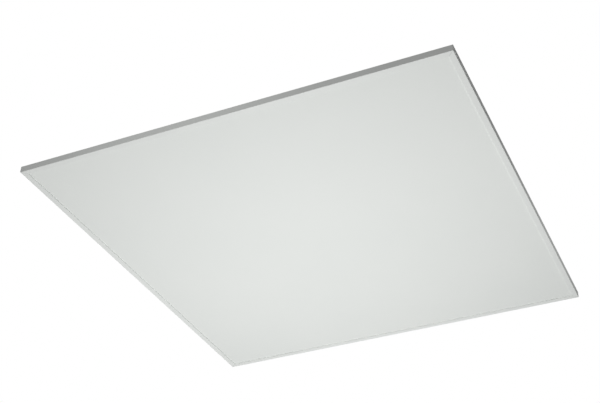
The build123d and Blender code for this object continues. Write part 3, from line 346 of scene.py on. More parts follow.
def zincLook(tree, place, s):
    # hot-dip zinc: crystals of differing tone and gloss, rolling marks across them, bright cut edges
    ripple = add(tree, "ShaderNodeTexNoise", {"Vector": place, "Scale": s["ragged"], "Detail": 2.0})
    shift = add(tree, "ShaderNodeVectorMath",
                {0: ripple.outputs["Color"], "Scale": s["raggedReach"]}, operation="SCALE")
    moved = add(tree, "ShaderNodeVectorMath", {0: place, 1: shift.outputs["Vector"]}, operation="ADD")
    wandered = moved.outputs["Vector"]
    cells = cellular(tree, wandered, s["spangle"])
    fine = cellular(tree, wandered, s["spangle"] * s["fineSpangle"])
    crystal, small = axes(tree, cells.outputs["Color"])[0], axes(tree, fine.outputs["Color"])[1]
    coarseShare = maths(tree, "MULTIPLY", crystal, 1.0 - s["fineShare"])
    level = maths(tree, "MULTIPLY_ADD", small, s["fineShare"], coarseShare)
    tone = mixed(tree, ranged(tree, level, *s["toneRange"]), s["dark"], s["light"])
    rounded, edge = softEdge(tree, s["edgeRadius"])
    tone = mixed(tree, maths(tree, "MULTIPLY", edge, s["edgeShare"]), tone, s["edgeTone"])
    rolled = noise(tree, scaled(tree, place, s["rollStretch"]), s["rollMarks"], 3.0)
    lines = maths(tree, "MULTIPLY_ADD", cells.outputs["Distance"], s["crystalRise"], rolled)
    return {
        "Base Color": tone, "Roughness": ranged(tree, level, 0.0, 1.0, *s["roughness"]),
        "Normal": bump(tree, lines, s["depth"], rounded), "Metallic": s["metallic"],
    }


diodePackage = {
    "pitch": 0.012, "middle": 0.0037, "lensHalf": 0.0016, "lensRise": 0.00048, "softness": 0.00007,
    "facing": (1.0, 0.1, 0.1),  # the lens shows where the face looks along x
    "phosphor": ((0.86, 0.62, 0.10), (0.95, 0.78, 0.24)), "phosphorGrain": 4000.0,
    "shell": ((0.83, 0.82, 0.78), (0.90, 0.89, 0.86)), "shellGrain": 900.0,
    "roughness": (0.45, 0.18), "depth": 0.00008,
}


def diodeLook(tree, place, s):
    # a white package with a yellow lens sunk in the side that faces the guide
    _, y, z = axes(tree, place)
    step = maths(tree, "WRAP", y, s["pitch"] / 2, -s["pitch"] / 2)
    long = near(tree, step, 0.0, s["lensHalf"], s["softness"])
    high = near(tree, z, s["middle"], s["lensRise"], s["softness"])
    across = axes(tree, add(tree, "ShaderNodeNewGeometry").outputs["Normal"])[0]
    faced = near(tree, maths(tree, "ABSOLUTE", across), *s["facing"])
    lens = maths(tree, "MULTIPLY", maths(tree, "MULTIPLY", long, high), faced)
    phosphor = mixed(tree, noise(tree, place, s["phosphorGrain"]), *s["phosphor"])
    shell = mixed(tree, noise(tree, place, s["shellGrain"]), *s["shell"])
    return {
        "Base Color": mixed(tree, lens, shell, phosphor),
        "Roughness": ranged(tree, lens, 0.0, 1.0, *s["roughness"]),
        "Normal": bump(tree, maths(tree, "SUBTRACT", 1.0, lens), s["depth"]),
    }


diodeBoard = {
    "mask": (0.82, 0.83, 0.81), "track": (0.90, 0.90, 0.88), "pad": (0.72, 0.72, 0.70),
    "pitch": 0.006, "gap": 0.06, "faint": 0.4, "trackShare": 0.5,
    "padSize": 0.10, "padSoftness": 0.03, "padsPerPitch": 0.6, "padsAstray": 0.15,
    "roughness": (0.34, 0.22), "depth": 0.00004,
}
driverBoard = {**diodeBoard, "mask": (0.02, 0.17, 0.07), "track": (0.05, 0.30, 0.13), "pitch": 0.007}


def boardLook(tree, place, s):
    # lacquer over copper: tracks show as slightly raised lighter runs, with bare pads between them
    runs = add(tree, "ShaderNodeTexBrick", {
        "Vector": place, "Scale": 1.0 / s["pitch"], "Mortar Size": s["gap"], "Mortar": (1.0, 1.0, 1.0, 1.0),
        "Color1": (0.0, 0.0, 0.0, 1.0), "Color2": (s["faint"], s["faint"], s["faint"], 1.0),
    })
    shade = add(tree, "ShaderNodeRGBToBW", {0: runs.outputs["Color"]}).outputs[0]
    tone = mixed(tree, maths(tree, "MULTIPLY", shade, s["trackShare"]), s["mask"], s["track"])
    dots = cellular(tree, place, s["padsPerPitch"] / s["pitch"], s["padsAstray"]).outputs["Distance"]
    pads = ranged(tree, dots, s["padSize"], s["padSize"] + s["padSoftness"], 1.0, 0.0)
    return {
        "Base Color": mixed(tree, pads, tone, s["pad"]),
        "Roughness": ranged(tree, pads, 0.0, 1.0, *s["roughness"]),
        "Normal": bump(tree, maths(tree, "ADD", shade, pads), s["depth"]),
    }


guidePlate = {
    "clear": (0.86, 0.94, 0.92), "dot": (0.93, 0.94, 0.93), "dotsPerMetre": 420.0, "dotSize": 0.26,
    "dotSoftness": 0.06, "roughness": (0.06, 0.5), "through": 0.55, "bending": 1.49,
}


def guideLook(tree, place, s):
    # clear acrylic with rows of fine printed dots that turn the light downwards
    dots = cellular(tree, place, s["dotsPerMetre"], 0.0).outputs["Distance"]
    printed = ranged(tree, dots, s["dotSize"], s["dotSize"] + s["dotSoftness"], 1.0, 0.0)
    return {
        "Base Color": mixed(tree, printed, s["clear"], s["dot"]),
        "Roughness": ranged(tree, printed, 0.0, 1.0, *s["roughness"]),
        "Transmission Weight": s["through"], "IOR": s["bending"],
    }


cellFoam = {
    "tones": ((0.60, 0.61, 0.63), (0.70, 0.71, 0.72)), "pore": (0.45, 0.46, 0.48), "patch": 22.0,
    "cellsPerMetre": 900.0, "poreRange": (0.35, 0.7, 0.0, 0.5), "roughness": 0.92, "sheen": 0.15,
    "depth": 0.0004,
}


def foamLook(tree, place, s):
    # polyethylene foam: closed cells of a millimetre or so under a soft skin
    cells = cellular(tree, place, s["cellsPerMetre"]).outputs["Distance"]
    skin = mixed(tree, noise(tree, place, s["patch"]), *s["tones"])
    return {
        "Base Color": mixed(tree, ranged(tree, cells, *s["poreRange"]), skin, s["pore"]),
        "Roughness": s["roughness"], "Sheen Weight": s["sheen"],
        "Normal": bump(tree, cells, s["depth"]),
    }


# which CAD solids keep their own shape, under each finish
paintedNodes = {
    "opalAcrylic": ["diffuser_plate"],
    "railPowderCoat": ["frame_rail_front", "frame_rail_back", "frame_rail_left", "frame_rail_right"],
    "backPlatePaint": ["back_plate"],
    "zincSheet": ["gear_tray", "end_plate_inlet", "end_plate_output", "partition_plate",
                  "driver_cover", "access_cover", "cover_hinge_leaf"],
    "zincStrip": ["suspension_tabs", "clip_brackets"],
    "platedSteel": ["corner_keys", "cover_hinge_pin", "clip_pins", "terminal_clamps"],
    "sinkAlloy": ["driver_heat_sink"],
    "earthBrass": ["earth_lug"],
    "reflectorFilm": ["reflector_film"],
    "clearAcrylicDots": ["light_guide_plate"],
    "diodePackage": ["led_chips"],
    "diodeBoard": ["led_board_left", "led_board_right"],
    "driverBoard": ["driver_board"],
    "blackNylon": ["selector_switches"],
    "whiteInsulation": ["strip_leads", "output_leads"],
    "driverCase": ["driver_case_base", "driver_case_lid"],
    "terminalHousing": ["terminal_block"],
    "brownPlastic": ["lead_line"],
    "bluePlastic": ["lead_neutral"],
    "greenPlastic": ["lead_earth"],
}


def makeFinishes():
    recipes = {
        "opalAcrylic": (surfaceLook, facePaint), "railPowderCoat": (railLook, railPaint),
        "backPlatePaint": (surfaceLook, platePaint), "zincSheet": (zincLook, zincSheet),
        "zincStrip": (zincLook, zincStrip), "diodePackage": (diodeLook, diodePackage),
        "diodeBoard": (boardLook, diodeBoard), "driverBoard": (boardLook, driverBoard),
        "clearAcrylicDots": (guideLook, guidePlate), "closedCellFoam": (foamLook, cellFoam),
    }
    recipes |= {name: (surfaceLook, {**anyMetal, **own}) for name, own in metals.items()}
    recipes |= {name: (surfaceLook, {**anyPlastic, **own}) for name, own in plastics.items()}
    look = {name: makeFinish(name, *recipe) for name, recipe in recipes.items()}
    for name, painted in paintedNodes.items():
        for node in painted:
            nodes[node].data.materials.clear()
            nodes[node].data.materials.append(look[name])
    print("finishes made:", len(look))
    return look


# surfaces are worked out as whole arrays, in millimetres

def surface(points, wrapRows=False, wrapColumns=False, capEnds=False):
    # four-sided faces between neighbours of a grid of points, and flat ends where asked
    rows, columns = points.shape[:2]
    i = np.arange(rows if wrapRows else rows - 1)
    j = np.arange(columns if wrapColumns else columns - 1)
    a, b = np.meshgrid(i, j, indexing="ij")
    c, d = (a + 1) % rows, (b + 1) % columns
    quads = np.stack([a * columns + b, c * columns + b, c * columns + d, a * columns + d], -1)
    ends = [np.arange(columns)[::-1], np.arange((rows - 1) * columns, rows * columns)]
    return points.reshape(-1, 3), quads.reshape(-1, 4), ends if capEnds else []


mergeWithin, tooShort = 1e-6, 1e-7  # in metres: points this close become one, edges this short go


def makePiece(name, surfaces, body, material, stands=(), sharp=32.0):
    # one mesh from several surfaces: seams and poles merged, faces outwards, place in the mesh
    starts = np.cumsum([0] + [len(part[0]) for part in surfaces])
    points = np.concatenate([part[0] for part in surfaces]) * mm
    faces = []
    for start, (_, quads, ends) in zip(starts, surfaces):
        faces += (quads + start).tolist() + [(end + start).tolist() for end in ends]
    mesh = bpy.data.meshes.new(name)
    mesh.from_pydata(points.tolist(), [], faces)
    worked = bmesh.new()
    worked.from_mesh(mesh)
    bmesh.ops.remove_doubles(worked, verts=worked.verts, dist=mergeWithin)
    bmesh.ops.dissolve_degenerate(worked, edges=worked.edges, dist=tooShort)
    bmesh.ops.recalc_face_normals(worked, faces=worked.faces)
    worked.to_mesh(mesh)
    worked.free()
    mesh.polygons.foreach_set("use_smooth", [True] * len(mesh.polygons))
    mesh.set_sharp_from_angle(angle=math.radians(sharp))
    mesh.materials.append(material)
    piece = bpy.data.objects.new(name, mesh)
    bpy.context.scene.collection.objects.link(piece)
    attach(piece, body)
    if stands:
        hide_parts(*stands)
    return piece


upright = np.eye(3)
alongX = np.array([[0.0, 1.0, 0.0], [0.0, 0.0, 1.0], [1.0, 0.0, 0.0]])  # local z runs along x
alongY = np.array([[0.0, 0.0, 1.0], [1.0, 0.0, 0.0], [0.0, 1.0, 0.0]])  # local z runs along y
sideways = np.array([[1.0, 0.0, 0.0], [0.0, 0.0, 1.0], [0.0, -1.0, 0.0]])  # y is z, and z is -y


def easedStep(value, low, high):
    # 0 below low, 1 above high, and 3 t squared - 2 t cubed between them
    t = np.clip((value - low) / (high - low), 0, 1)
    return t * t * (3 - 2 * t)


def roundedPath(points, radii, steps=5):
    # straight runs with an arc at each inner corner: its middle lies on the corner's bisector, radius
    # over cos(turn / 2) away, and its points are (sin((1 - s) turn) start + sin(s turn) end) / sin(turn)
    points = np.asarray(points, float)
    pieces = [points[:1]]
    radii = np.broadcast_to(radii, len(points) - 2)
    for a, b, c, radius in zip(points, points[1:], points[2:], radii):
        back, on = (a - b) / np.linalg.norm(a - b), (c - b) / np.linalg.norm(c - b)
        turn = np.pi - np.arccos(np.clip(back @ on, -1, 1))
        reach = radius * np.tan(turn / 2)
        middle = b + (back + on) / np.linalg.norm(back + on) * radius / np.cos(turn / 2)
        start, end = b + back * reach - middle, b + on * reach - middle
        share = np.linspace(0.0, 1.0, steps if radius else 1)[:, None]
        arc = (np.sin((1 - share) * turn) * start + np.sin(share * turn) * end) / np.sin(turn)
        pieces.append(middle + arc)
    return np.concatenate(pieces + [points[-1:]])


def turned(profile, place, frameAxes=upright, segments=32, ripple=None, closed=False):
    # each profile point (r, h) goes round the axis: r cos t, r sin t, h, where ripple gives r anew
    profile = np.asarray(profile, float)
    angle = np.linspace(0.0, 2 * np.pi, segments, endpoint=False)
    r, t = np.meshgrid(profile[:, 0], angle, indexing="ij")
    h = np.repeat(profile[:, 1:2], segments, 1)
    if ripple is not None:
        r = ripple(r, h, t)
    local = np.stack([r * np.cos(t), r * np.sin(t), h], -1)
    return surface(local @ frameAxes + np.asarray(place, float), closed, True)


discGrid = {"topShare": 0.5, "squareTo": 0.3, "roundFrom": 0.5, "lines": 8, "room": 0.35, "within": 0.97,
            "slack": 1e-9}


def crossedDisc(profile, place, cut, cutLines):
    # a turned solid from a square grid, x = u sqrt(1 - v v / 2) and y = v sqrt(1 - u u / 2), whose lines
    # stay straight near the axes, so that a cut in the top has straight walls: lines lie at cutLines from
    # the axes, evenly between them as far as the flat top goes, and at the profile's points beyond it
    profile = np.asarray(profile, float)
    topShare, flat = discGrid["topShare"], profile[1, 0]
    cuts = np.array([v for v in cutLines if v < discGrid["within"] * flat])
    even = np.arange(1, discGrid["lines"]) * flat / discGrid["lines"]
    even = even[np.abs(even[:, None] - cuts).min(1) > discGrid["room"] * even[0]]
    inner = np.sort(np.concatenate([[0.0], even, cuts])) / flat * topShare
    outer = np.linspace(topShare, 1.0, len(profile) - 1)
    half = np.concatenate([inner, outer])
    line = np.concatenate([-half[:0:-1], half])
    u, v = np.meshgrid(line, line, indexing="ij")
    x, y = u * np.sqrt(1 - v * v / 2), v * np.sqrt(1 - u * u / 2)
    away, ring = np.hypot(x, y), np.maximum(np.abs(u), np.abs(v))
    blend = easedStep(ring, discGrid["squareTo"], discGrid["roundFrom"])
    share = away * (1 - blend) + ring * blend
    knots = np.concatenate([[0.0], outer])
    r, h = np.interp(share, knots, profile[:, 0]), np.interp(share, knots, profile[:, 1])
    safe = np.where(away > 0, away, 1.0)
    px, py = r * x / safe, r * y / safe
    depth = cut(px, py) * (share <= knots[np.argmax(profile[:, 0])] + discGrid["slack"])
    h = np.where(depth > 0, np.minimum(h, profile[0, 1] - depth), h)
    return surface(np.stack([px, py, h], -1) + np.asarray(place, float))


def crossCut(reach, width, depth, soft, falls=(0.55, 0.27)):
    # a cross: depth times one fall across each arm and one along it, which takes the first of falls
    ends = [reach - fall for fall in falls]

    def cut(x, y):
        x, y = np.abs(x), np.abs(y)
        wall = 1 - easedStep(np.minimum(x, y), width, width + soft)
        return depth * wall * (1 - easedStep(np.maximum(x, y), ends[0], reach))
    return cut, (width, width + soft / 2, width + soft, *ends, reach)


def slotCut(width, depth, soft=0.12):
    # a slot right across: depth times one fall at half the width from its middle line
    low, high = (width - soft) / 2, (width + soft) / 2
    return lambda x, y: depth * (1 - easedStep(np.abs(y), low, high)), (low, width / 2, high)


def roundedEnds(low, high, radius, steps=4):
    # stations and insets of a straight run with quarter arcs at its ends: the inset is radius (1 - sin a)
    # where the station is radius (1 - cos a) from the end
    angle = np.linspace(0.0, np.pi / 2, steps)
    rise, inset = radius * (1 - np.cos(angle)), radius * (1 - np.sin(angle))
    return np.concatenate([low + rise, high - rise[::-1]]), np.concatenate([inset, inset[::-1]])


def roundedRing(halfA, halfB, radius, steps=5):
    # a rectangle with round corners as one closed line: four quarter arcs, one after another, each a
    # corner's centre + radius (cos t, sin t)
    t = (np.linspace(0.0, np.pi / 2, steps) + np.arange(4)[:, None] * np.pi / 2).ravel()
    sx, sy = np.repeat([1, -1, -1, 1], steps), np.repeat([1, 1, -1, -1], steps)
    x = sx * (halfA - radius) + radius * np.cos(t)
    return np.stack([x, sy * (halfB - radius) + radius * np.sin(t)], -1)


def mouldedBlock(low, high, corner, edge, steps=4, sharpest=0.05):
    # rings of a rounded rectangle from the bottom to the top, drawn in by the edge's arc at both ends
    low, high = np.asarray(low, float), np.asarray(high, float)
    middle, half = (low + high) / 2, (high - low) / 2
    stations, insets = roundedEnds(low[2], high[2], edge, steps)
    insets = insets[:, None]
    corners = np.maximum(corner - insets, sharpest)
    rings = roundedRing(half[0] - insets, half[1] - insets, corners) + middle[:2]
    heights = np.repeat(stations[:, None], rings.shape[1], 1)
    return surface(np.dstack([rings, heights]), False, True, True)


def carriedOutline(outline, stations, insets, frameAxes, place):
    # a closed outline carried along a straight line, drawn in by the insets along its own normals,
    # which are square to the run from each point's neighbour before to its neighbour after
    run = np.roll(outline, -1, 0) - np.roll(outline, 1, 0)
    normals = np.stack([run[:, 1], -run[:, 0]], -1) / np.linalg.norm(run, axis=1, keepdims=True)
    flat = outline[None] - normals[None] * insets[:, None, None]
    depth = np.repeat(stations[:, None, None], len(outline), 1)
    local = np.concatenate([flat, depth], -1)
    return surface(local @ frameAxes + np.asarray(place, float), False, True, True)


def thickStrip(middle, thickness):
    # both faces of a sheet from its middle surface: half the thickness along the surface's own normals
    normal = np.cross(np.gradient(middle, axis=0), np.gradient(middle, axis=1))
    normal = normal / np.linalg.norm(normal, axis=-1, keepdims=True) * thickness / 2
    loop = np.concatenate([middle + normal, (middle - normal)[:, ::-1]], 1)
    return surface(loop, False, True, True)


def grid(xs, ys):
    return [(x, y) for x in xs for y in ys]


def fourSides(alongs, out):
    # a row of places along each side of the square: x cos t + out sin t, x sin t - out cos t
    quarters = ((1, 0), (0, 1), (-1, 0), (0, -1))
    return [(x * c + out * s, x * s - out * c) for x in alongs for c, s in quarters]


panHead = {"head": 2.8, "rise": 1.9, "round": 0.85, "shank": 1.5, "point": 0.3}
panCross = {"reach": 1.55, "width": 0.34, "depth": 1.0, "soft": 0.14}
earthHead = {"head": 3.6, "rise": 2.4, "round": 0.9, "shank": 1.95, "point": 0.3}
earthSlot = {"width": 1.0, "depth": 1.2}
# where the screws stand, the height that each head sits on and the height of its tip
screwSets = {
    "backPlateScrewSet": {"node": "back_plate_screws", "seat": 8.7, "tip": 6.4,
                          "places": fourSides((-277.5, -110.0, 110.0, 277.5), 292.1)},
    "trayScrewSet": {"node": "tray_screws", "seat": 11.5, "tip": 8.8,
                     "places": grid((-116.0, 40.0), (-19.0, 19.0)) + grid((79.0,), (-19.2, 19.2))},
    "coverScrewSet": {"node": "driver_cover_screws", "seat": 43.5, "tip": 41.8,
                      "places": grid((-138.0, 36.0), (-43.0, 43.0))},
}
earthScrewPlace = {"place": (114.0, 31.0), "seat": 10.3, "tip": 8.8}


def screwProfile(settings, seat, tip):
    # from the middle of the head over its rounded rim, under it and down the shank to the tip
    top, head, shank = seat + settings["rise"], settings["head"], settings["shank"]
    outline = [(0.0, top), (head, top), (head, seat), (shank, seat), (shank, tip + settings["point"]),
               (0.0, tip)]
    return roundedPath(outline, (settings["round"], 0.0, 0.0, 0.0))


def makeScrews(look):
    # a turned screw at every place, with a cross in its head, and one with a slot
    for name, row in screwSets.items():
        profile = screwProfile(panHead, row["seat"], row["tip"])
        screws = [crossedDisc(profile, (x, y, 0.0), *crossCut(**panCross)) for x, y in row["places"]]
        makePiece(name, screws, "panel", look["platedSteel"], [row["node"]])
    profile = screwProfile(earthHead, earthScrewPlace["seat"], earthScrewPlace["tip"])
    screw = crossedDisc(profile, (*earthScrewPlace["place"], 0.0), *slotCut(**earthSlot))
    makePiece("earthScrew", [screw], "panel", look["earthBrass"], ["earth_screw"])
    print("screws made")


rivetSettings = {
    "head": 3.2, "dome": 1.0, "hole": 0.9, "mandrel": 0.68, "mandrelRise": 0.45, "groove": 0.3,
    "shank": 1.6, "tail": 2.3, "tailDrop": 0.8, "tailRounds": (0.0, 0.1, 0.4), "domePoints": 7,
}
# places of the rivets, and the heights that their tails and heads sit on
trayRivets = {"places": grid((-138.0, 53.0, 138.0), (-34.0, 34.0)), "low": 8.1, "high": 10.3}
hingeRivets = {"places": ((79.4, 0.0, 32.7), (125.4, 0.0, 32.7)), "low": 47.2, "high": 48.8}
bracketRivets = {"places": grid((-201.5, -178.5, 178.5, 201.5), (-282.7, 282.7)), "low": 8.1, "high": 9.7}
tabRivets = {"places": grid((-227.0, 227.0), (-245.5, -234.5, 234.5, 245.5)), "low": 8.1, "high": 9.9}


def rivetProfile(low, high):
    # the mandrel's broken end in its hole, the head as a quarter of an ellipse, r = hole + (head - hole)
    # sin a and h = dome cos a, then the shank and the upset tail
    s = rivetSettings
    rise, groove = high + s["mandrelRise"], high + s["groove"]
    angle = np.linspace(0.0, np.pi / 2, s["domePoints"])
    dome = [s["hole"] + (s["head"] - s["hole"]) * np.sin(angle), high + s["dome"] * np.cos(angle)]
    tailEnd = low - s["tailDrop"]
    tail = [(s["shank"], high), (s["shank"], low), (s["tail"], low), (s["tail"], tailEnd), (0.0, tailEnd)]
    pit = [(0.0, rise), (s["mandrel"], rise), (s["mandrel"], groove), (s["hole"], groove)]
    return np.concatenate([pit, np.transpose(dome), roundedPath(tail, s["tailRounds"])])


def makeRivets(look):
    # the same turned rivet at every place; the hinge's two lie along y
    def row(settings):
        profile = rivetProfile(settings["low"], settings["high"])
        return [turned(profile, (x, y, 0.0)) for x, y in settings["places"]]
    across = rivetProfile(hingeRivets["low"], hingeRivets["high"])
    hinge = [turned(across, place, alongY) for place in hingeRivets["places"]]
    for name, rivets, node in (
        ("trayRivetSet", row(trayRivets) + hinge, "gear_tray_rivets"),
        ("fixingRivetSet", row(bracketRivets) + row(tabRivets), "fixing_rivets"),
    ):
        makePiece(name, rivets, "panel", look["rivetAlloy"], [node])
    print("rivets made")


# outline as (radius, place along the bore) with a radius for each corner, in millimetres
bushingSettings = {
    "place": (0.0, -22.0, 23.1), "segments": 96,
    "slits": 8, "slitDepth": 1.2, "slitWalls": 6.0, "slitLand": 4.6,  # steepness and width of what stays
    "outline": [(8.0, 146.0), (8.0, 152.6), (13.4, 152.6), (13.4, 150.8), (11.0, 150.8), (11.0, 150.0),
                (11.9, 150.0), (11.9, 149.3), (11.0, 148.0), (10.7, 142.0), (8.0, 142.0)],
    "corners": (2.2, 1.2, 0.2, 0.0, 0.0, 0.15, 0.2, 0.2, 0.4),
    "flange": 150.1, "bore": 9.0,
}


def makeBushing(look):
    # snap-in bushing: rounded flange, flared bore, and a neck slit into fingers where walls cos(slits t)
    # is over land
    s = bushingSettings

    def fingers(r, h, t):
        slit = np.clip(np.cos(s["slits"] * t) * s["slitWalls"] - s["slitLand"], 0, 1)
        return r - s["slitDepth"] * slit * (h < s["flange"]) * (r > s["bore"])

    profile = roundedPath(s["outline"], s["corners"])
    ring = turned(profile, s["place"], alongX, s["segments"], fingers, True)
    makePiece("inletBushing", [ring], "panel", look["blackNylon"], ["inlet_bushing"])


grommetSettings = {
    "place": (-129.0, 0.0, 0.0), "segments": 48,
    "outline": [(5.0, 8.8), (5.0, 10.7), (9.0, 10.7), (9.0, 9.5), (6.5, 9.5), (6.5, 8.1), (9.0, 8.1),
                (9.0, 6.9), (5.0, 6.9)],
    "corners": (0.8, 0.7, 0.1, 0.0, 0.0, 0.1, 0.7),
}


def makeGrommet(look):
    # a soft ring that grips the plate in a groove round its outside
    s = grommetSettings
    profile = roundedPath(s["outline"], s["corners"])
    ring = turned(profile, s["place"], upright, s["segments"], None, True)
    makePiece("outputGrommet", [ring], "panel", look["blackRubber"], ["output_grommet"])


connectorSettings = {
    "body": ((-133.7, -5.6, 13.5), (-124.3, 5.6, 22.1)), "bodyRound": (0.9, 0.5),
    "collar": ((-134.0, -6.0, 16.9), (-124.0, 6.0, 18.6)), "collarRound": (1.0, 0.3),
    "latch": ((-130.6, -2.2, 21.9), (-126.0, 2.2, 22.5)), "latchRound": (0.5, 0.25),
    "ribs": (-132.0, -129.0, -126.0), "ribHalf": (0.5, 5.95), "ribHeights": (14.2, 21.2),
    "ribRound": (0.3, 0.25),
}


def makeConnector(look):
    # white wire-to-wire housing: body, raised collar, latch and ribs on both sides
    s = connectorSettings
    parts = [mouldedBlock(*s[word], *s[word + "Round"]) for word in ("body", "collar", "latch")]
    (thick, wide), (low, high) = s["ribHalf"], s["ribHeights"]
    parts += [mouldedBlock((x - thick, -wide, low), (x + thick, wide, high), *s["ribRound"])
              for x in s["ribs"]]
    makePiece("outputConnector", parts, "panel", look["housingNylon"], ["output_connector"])
    print("cable entries made")


canSettings = {
    "foot": 15.7, "cans": ((-89.8, 10.0, 8.0, 20.0), (-71.8, 15.0, 5.0, 16.0), (-71.8, 3.0, 5.0, 16.0)),
    "rim": 1.3, "rimSlope": 0.2, "dish": 0.35, "crimp": 0.35, "crimpDrop": 3.4, "crimpHalf": 0.6,
    "corners": (0.15, 0.15, 0.8, 0.4, 0.3, 0.4, 0.3), "cornerPoints": 4,
    "ventShare": 0.5, "ventMore": 0.8, "ventDepth": 0.18, "ventWidth": 0.15, "ventSoft": 0.35,
}


def canProfile(radius, height):
    # dished top, rim, round shoulder, the crimped groove and the sleeve down to the foot
    s = canSettings
    low, half = s["foot"], s["crimpHalf"]
    top = low + height
    dished, rim, neck = top - s["dish"], radius - s["rim"], top - s["crimpDrop"]
    outline = [(0.0, dished), (rim, dished), (rim + s["rimSlope"], top), (radius, top),
               (radius, neck + half), (radius - s["crimp"], neck), (radius, neck - half),
               (radius, low), (0.0, low)]
    return roundedPath(outline, s["corners"], s["cornerPoints"])


def makeCans(look):
    # turned cans, a crossed vent pressed in the top of each
    s = canSettings
    cans = []
    for x, y, radius, height in s["cans"]:
        reach = radius * s["ventShare"] + s["ventMore"]
        vent = crossCut(reach, s["ventWidth"], s["ventDepth"], s["ventSoft"])
        cans.append(crossedDisc(canProfile(radius, height), (x, y, 0.0), *vent))
    makePiece("driverCapacitors", cans, "panel", look["canSleeve"], ["driver_capacitors"])


coilSettings = {
    "centre": (19.8, 12.4, 19.1), "ring": 6.5, "wire": 3.4, "turns": 26, "ridge": 0.1, "lean": 0.35,
    "pointsPerTurn": 6, "pointsRound": 20,
}


def makeCoil(look):
    # toroid choke: away from the axis = ring + w cos b and height = w sin b, where w = wire (1 - ridge +
    # ridge |cos(turns a / 2 + lean b)|) lets each turn of the wire stand up as a ridge
    s = coilSettings
    a, b = np.meshgrid(np.linspace(0, 2 * np.pi, s["turns"] * s["pointsPerTurn"], endpoint=False),
                       np.linspace(0, 2 * np.pi, s["pointsRound"], endpoint=False), indexing="ij")
    wire = s["wire"] * (1 - s["ridge"] + s["ridge"] * np.abs(np.cos(s["turns"] * a / 2 + s["lean"] * b)))
    away = s["ring"] + wire * np.cos(b)
    ring = np.stack([away * np.cos(a), away * np.sin(a), wire * np.sin(b)], -1) + np.array(s["centre"])
    makePiece("driverCoil", [surface(ring, True, True)], "panel", look["enamelledCopper"],
              ["driver_coil"], sharp=80)


transformerSettings = {
    "core": ((-50.0, -11.0, 15.7), (-26.0, 11.0, 31.7)), "coreRound": (0.6, 0.35),
    "winding": ((-45.0, -14.0, 18.7), (-31.0, 14.0, 28.7)), "windingRound": (2.6, 1.6, 6),
}


def makeTransformer(look):
    # two moulded blocks: the core, and the taped winding that stands out at both sides of it
    s = transformerSettings
    core = mouldedBlock(*s["core"], *s["coreRound"])
    makePiece("transformerCore", [core], "panel", look["ferrite"],
              ["driver_transformer"])
    winding = mouldedBlock(*s["winding"], *s["windingRound"])
    makePiece("transformerWinding", [winding], "panel", look["windingTape"])
    print("driver parts made")


knobSettings = {
    "places": {"colour": -23.0, "power": 7.0}, "half": 2.0, "foot": 35.7, "top": 44.5,
    "ridges": 4, "ridgeDepth": 0.35, "shoulder": 0.5, "shoulderDrop": 0.45, "endRound": 0.35,
    "points": 33,
}


def makeKnobs(look):
    # an outline in x and z carried along y; its top is a wave, depth (1 - cos(2 pi ridges x / width)) / 2
    s = knobSettings
    half, depth = s["half"], s["ridgeDepth"]
    x = np.linspace(half, -half, s["points"])
    wave = depth * (0.5 - 0.5 * np.cos(np.pi * s["ridges"] * (x + half) / half))
    side = s["shoulderDrop"] * easedStep(np.abs(x), half - s["shoulder"], half)
    ridged = np.stack([x, s["top"] - depth + wave - side], -1)
    outline = np.concatenate([[(-half, s["foot"]), (half, s["foot"])], ridged])
    for word, place in s["places"].items():
        ends = roundedEnds(-half, half, s["endRound"])
        knob = carriedOutline(outline, *ends, sideways, (place, 0.0, 0.0))
        makePiece(f"{word}SelectorKnob", [knob], f"{word}_selector", look["knobPlastic"],
                  [f"{word}_selector_knob"])
    print("knobs made")


latchSettings = {
    "axis": (102.4, -33.0), "top": 45.55, "head": 6.0, "under": 43.76, "shaft": 2.5, "foot": 40.4,
    "corners": (0.8, 0.2, 0.0, 0.2), "slot": {"width": 1.4, "depth": 0.9, "soft": 0.2},
    "wingReach": 10.0, "wingHalf": 2.5, "wingThickness": 1.2, "wingRound": (1.5, 0.3),
}


def makeLatch(look):
    # slotted quarter-turn head on its shaft, and the wing that goes under the tray's flange
    s = latchSettings
    x, y = s["axis"]
    outline = [(0.0, s["top"]), (s["head"], s["top"]), (s["head"], s["under"]), (s["shaft"], s["under"]),
               (s["shaft"], s["foot"]), (0.0, s["foot"])]
    profile = roundedPath(outline, s["corners"])
    disc = crossedDisc(profile, (x, y, 0.0), *slotCut(**s["slot"]))
    wingLow = (x - s["wingHalf"], y - s["wingHalf"], s["foot"])
    wingHigh = (x + s["wingReach"], y + s["wingHalf"], s["foot"] + s["wingThickness"])
    wing = mouldedBlock(wingLow, wingHigh, *s["wingRound"])
    makePiece("coverLatch", [disc, wing], "latch", look["platedSteel"], ["cover_latch"])
    print("latch made")


leverSettings = {
    "pivot": (71.4, 22.1), "barrel": 2.0, "reach": 18.2, "thickness": 1.8, "half": 4.0, "endRound": 0.3,
    "tipRound": 0.7, "grip": 6.0, "gripPitch": 1.0, "gripDepth": 0.3, "gripPoints": 40, "gripGap": 0.5,
    "barrelPoints": 22, "backStart": 0.6, "backPoints": 5,
    "stub": 1.0, "stubReach": 4.5, "stubRound": 0.15, "stubSegments": 20,
    "poles": {"line": (-10.0, "brown"), "neutral": (0.0, "blue"), "earth": (10.0, "green")},
}


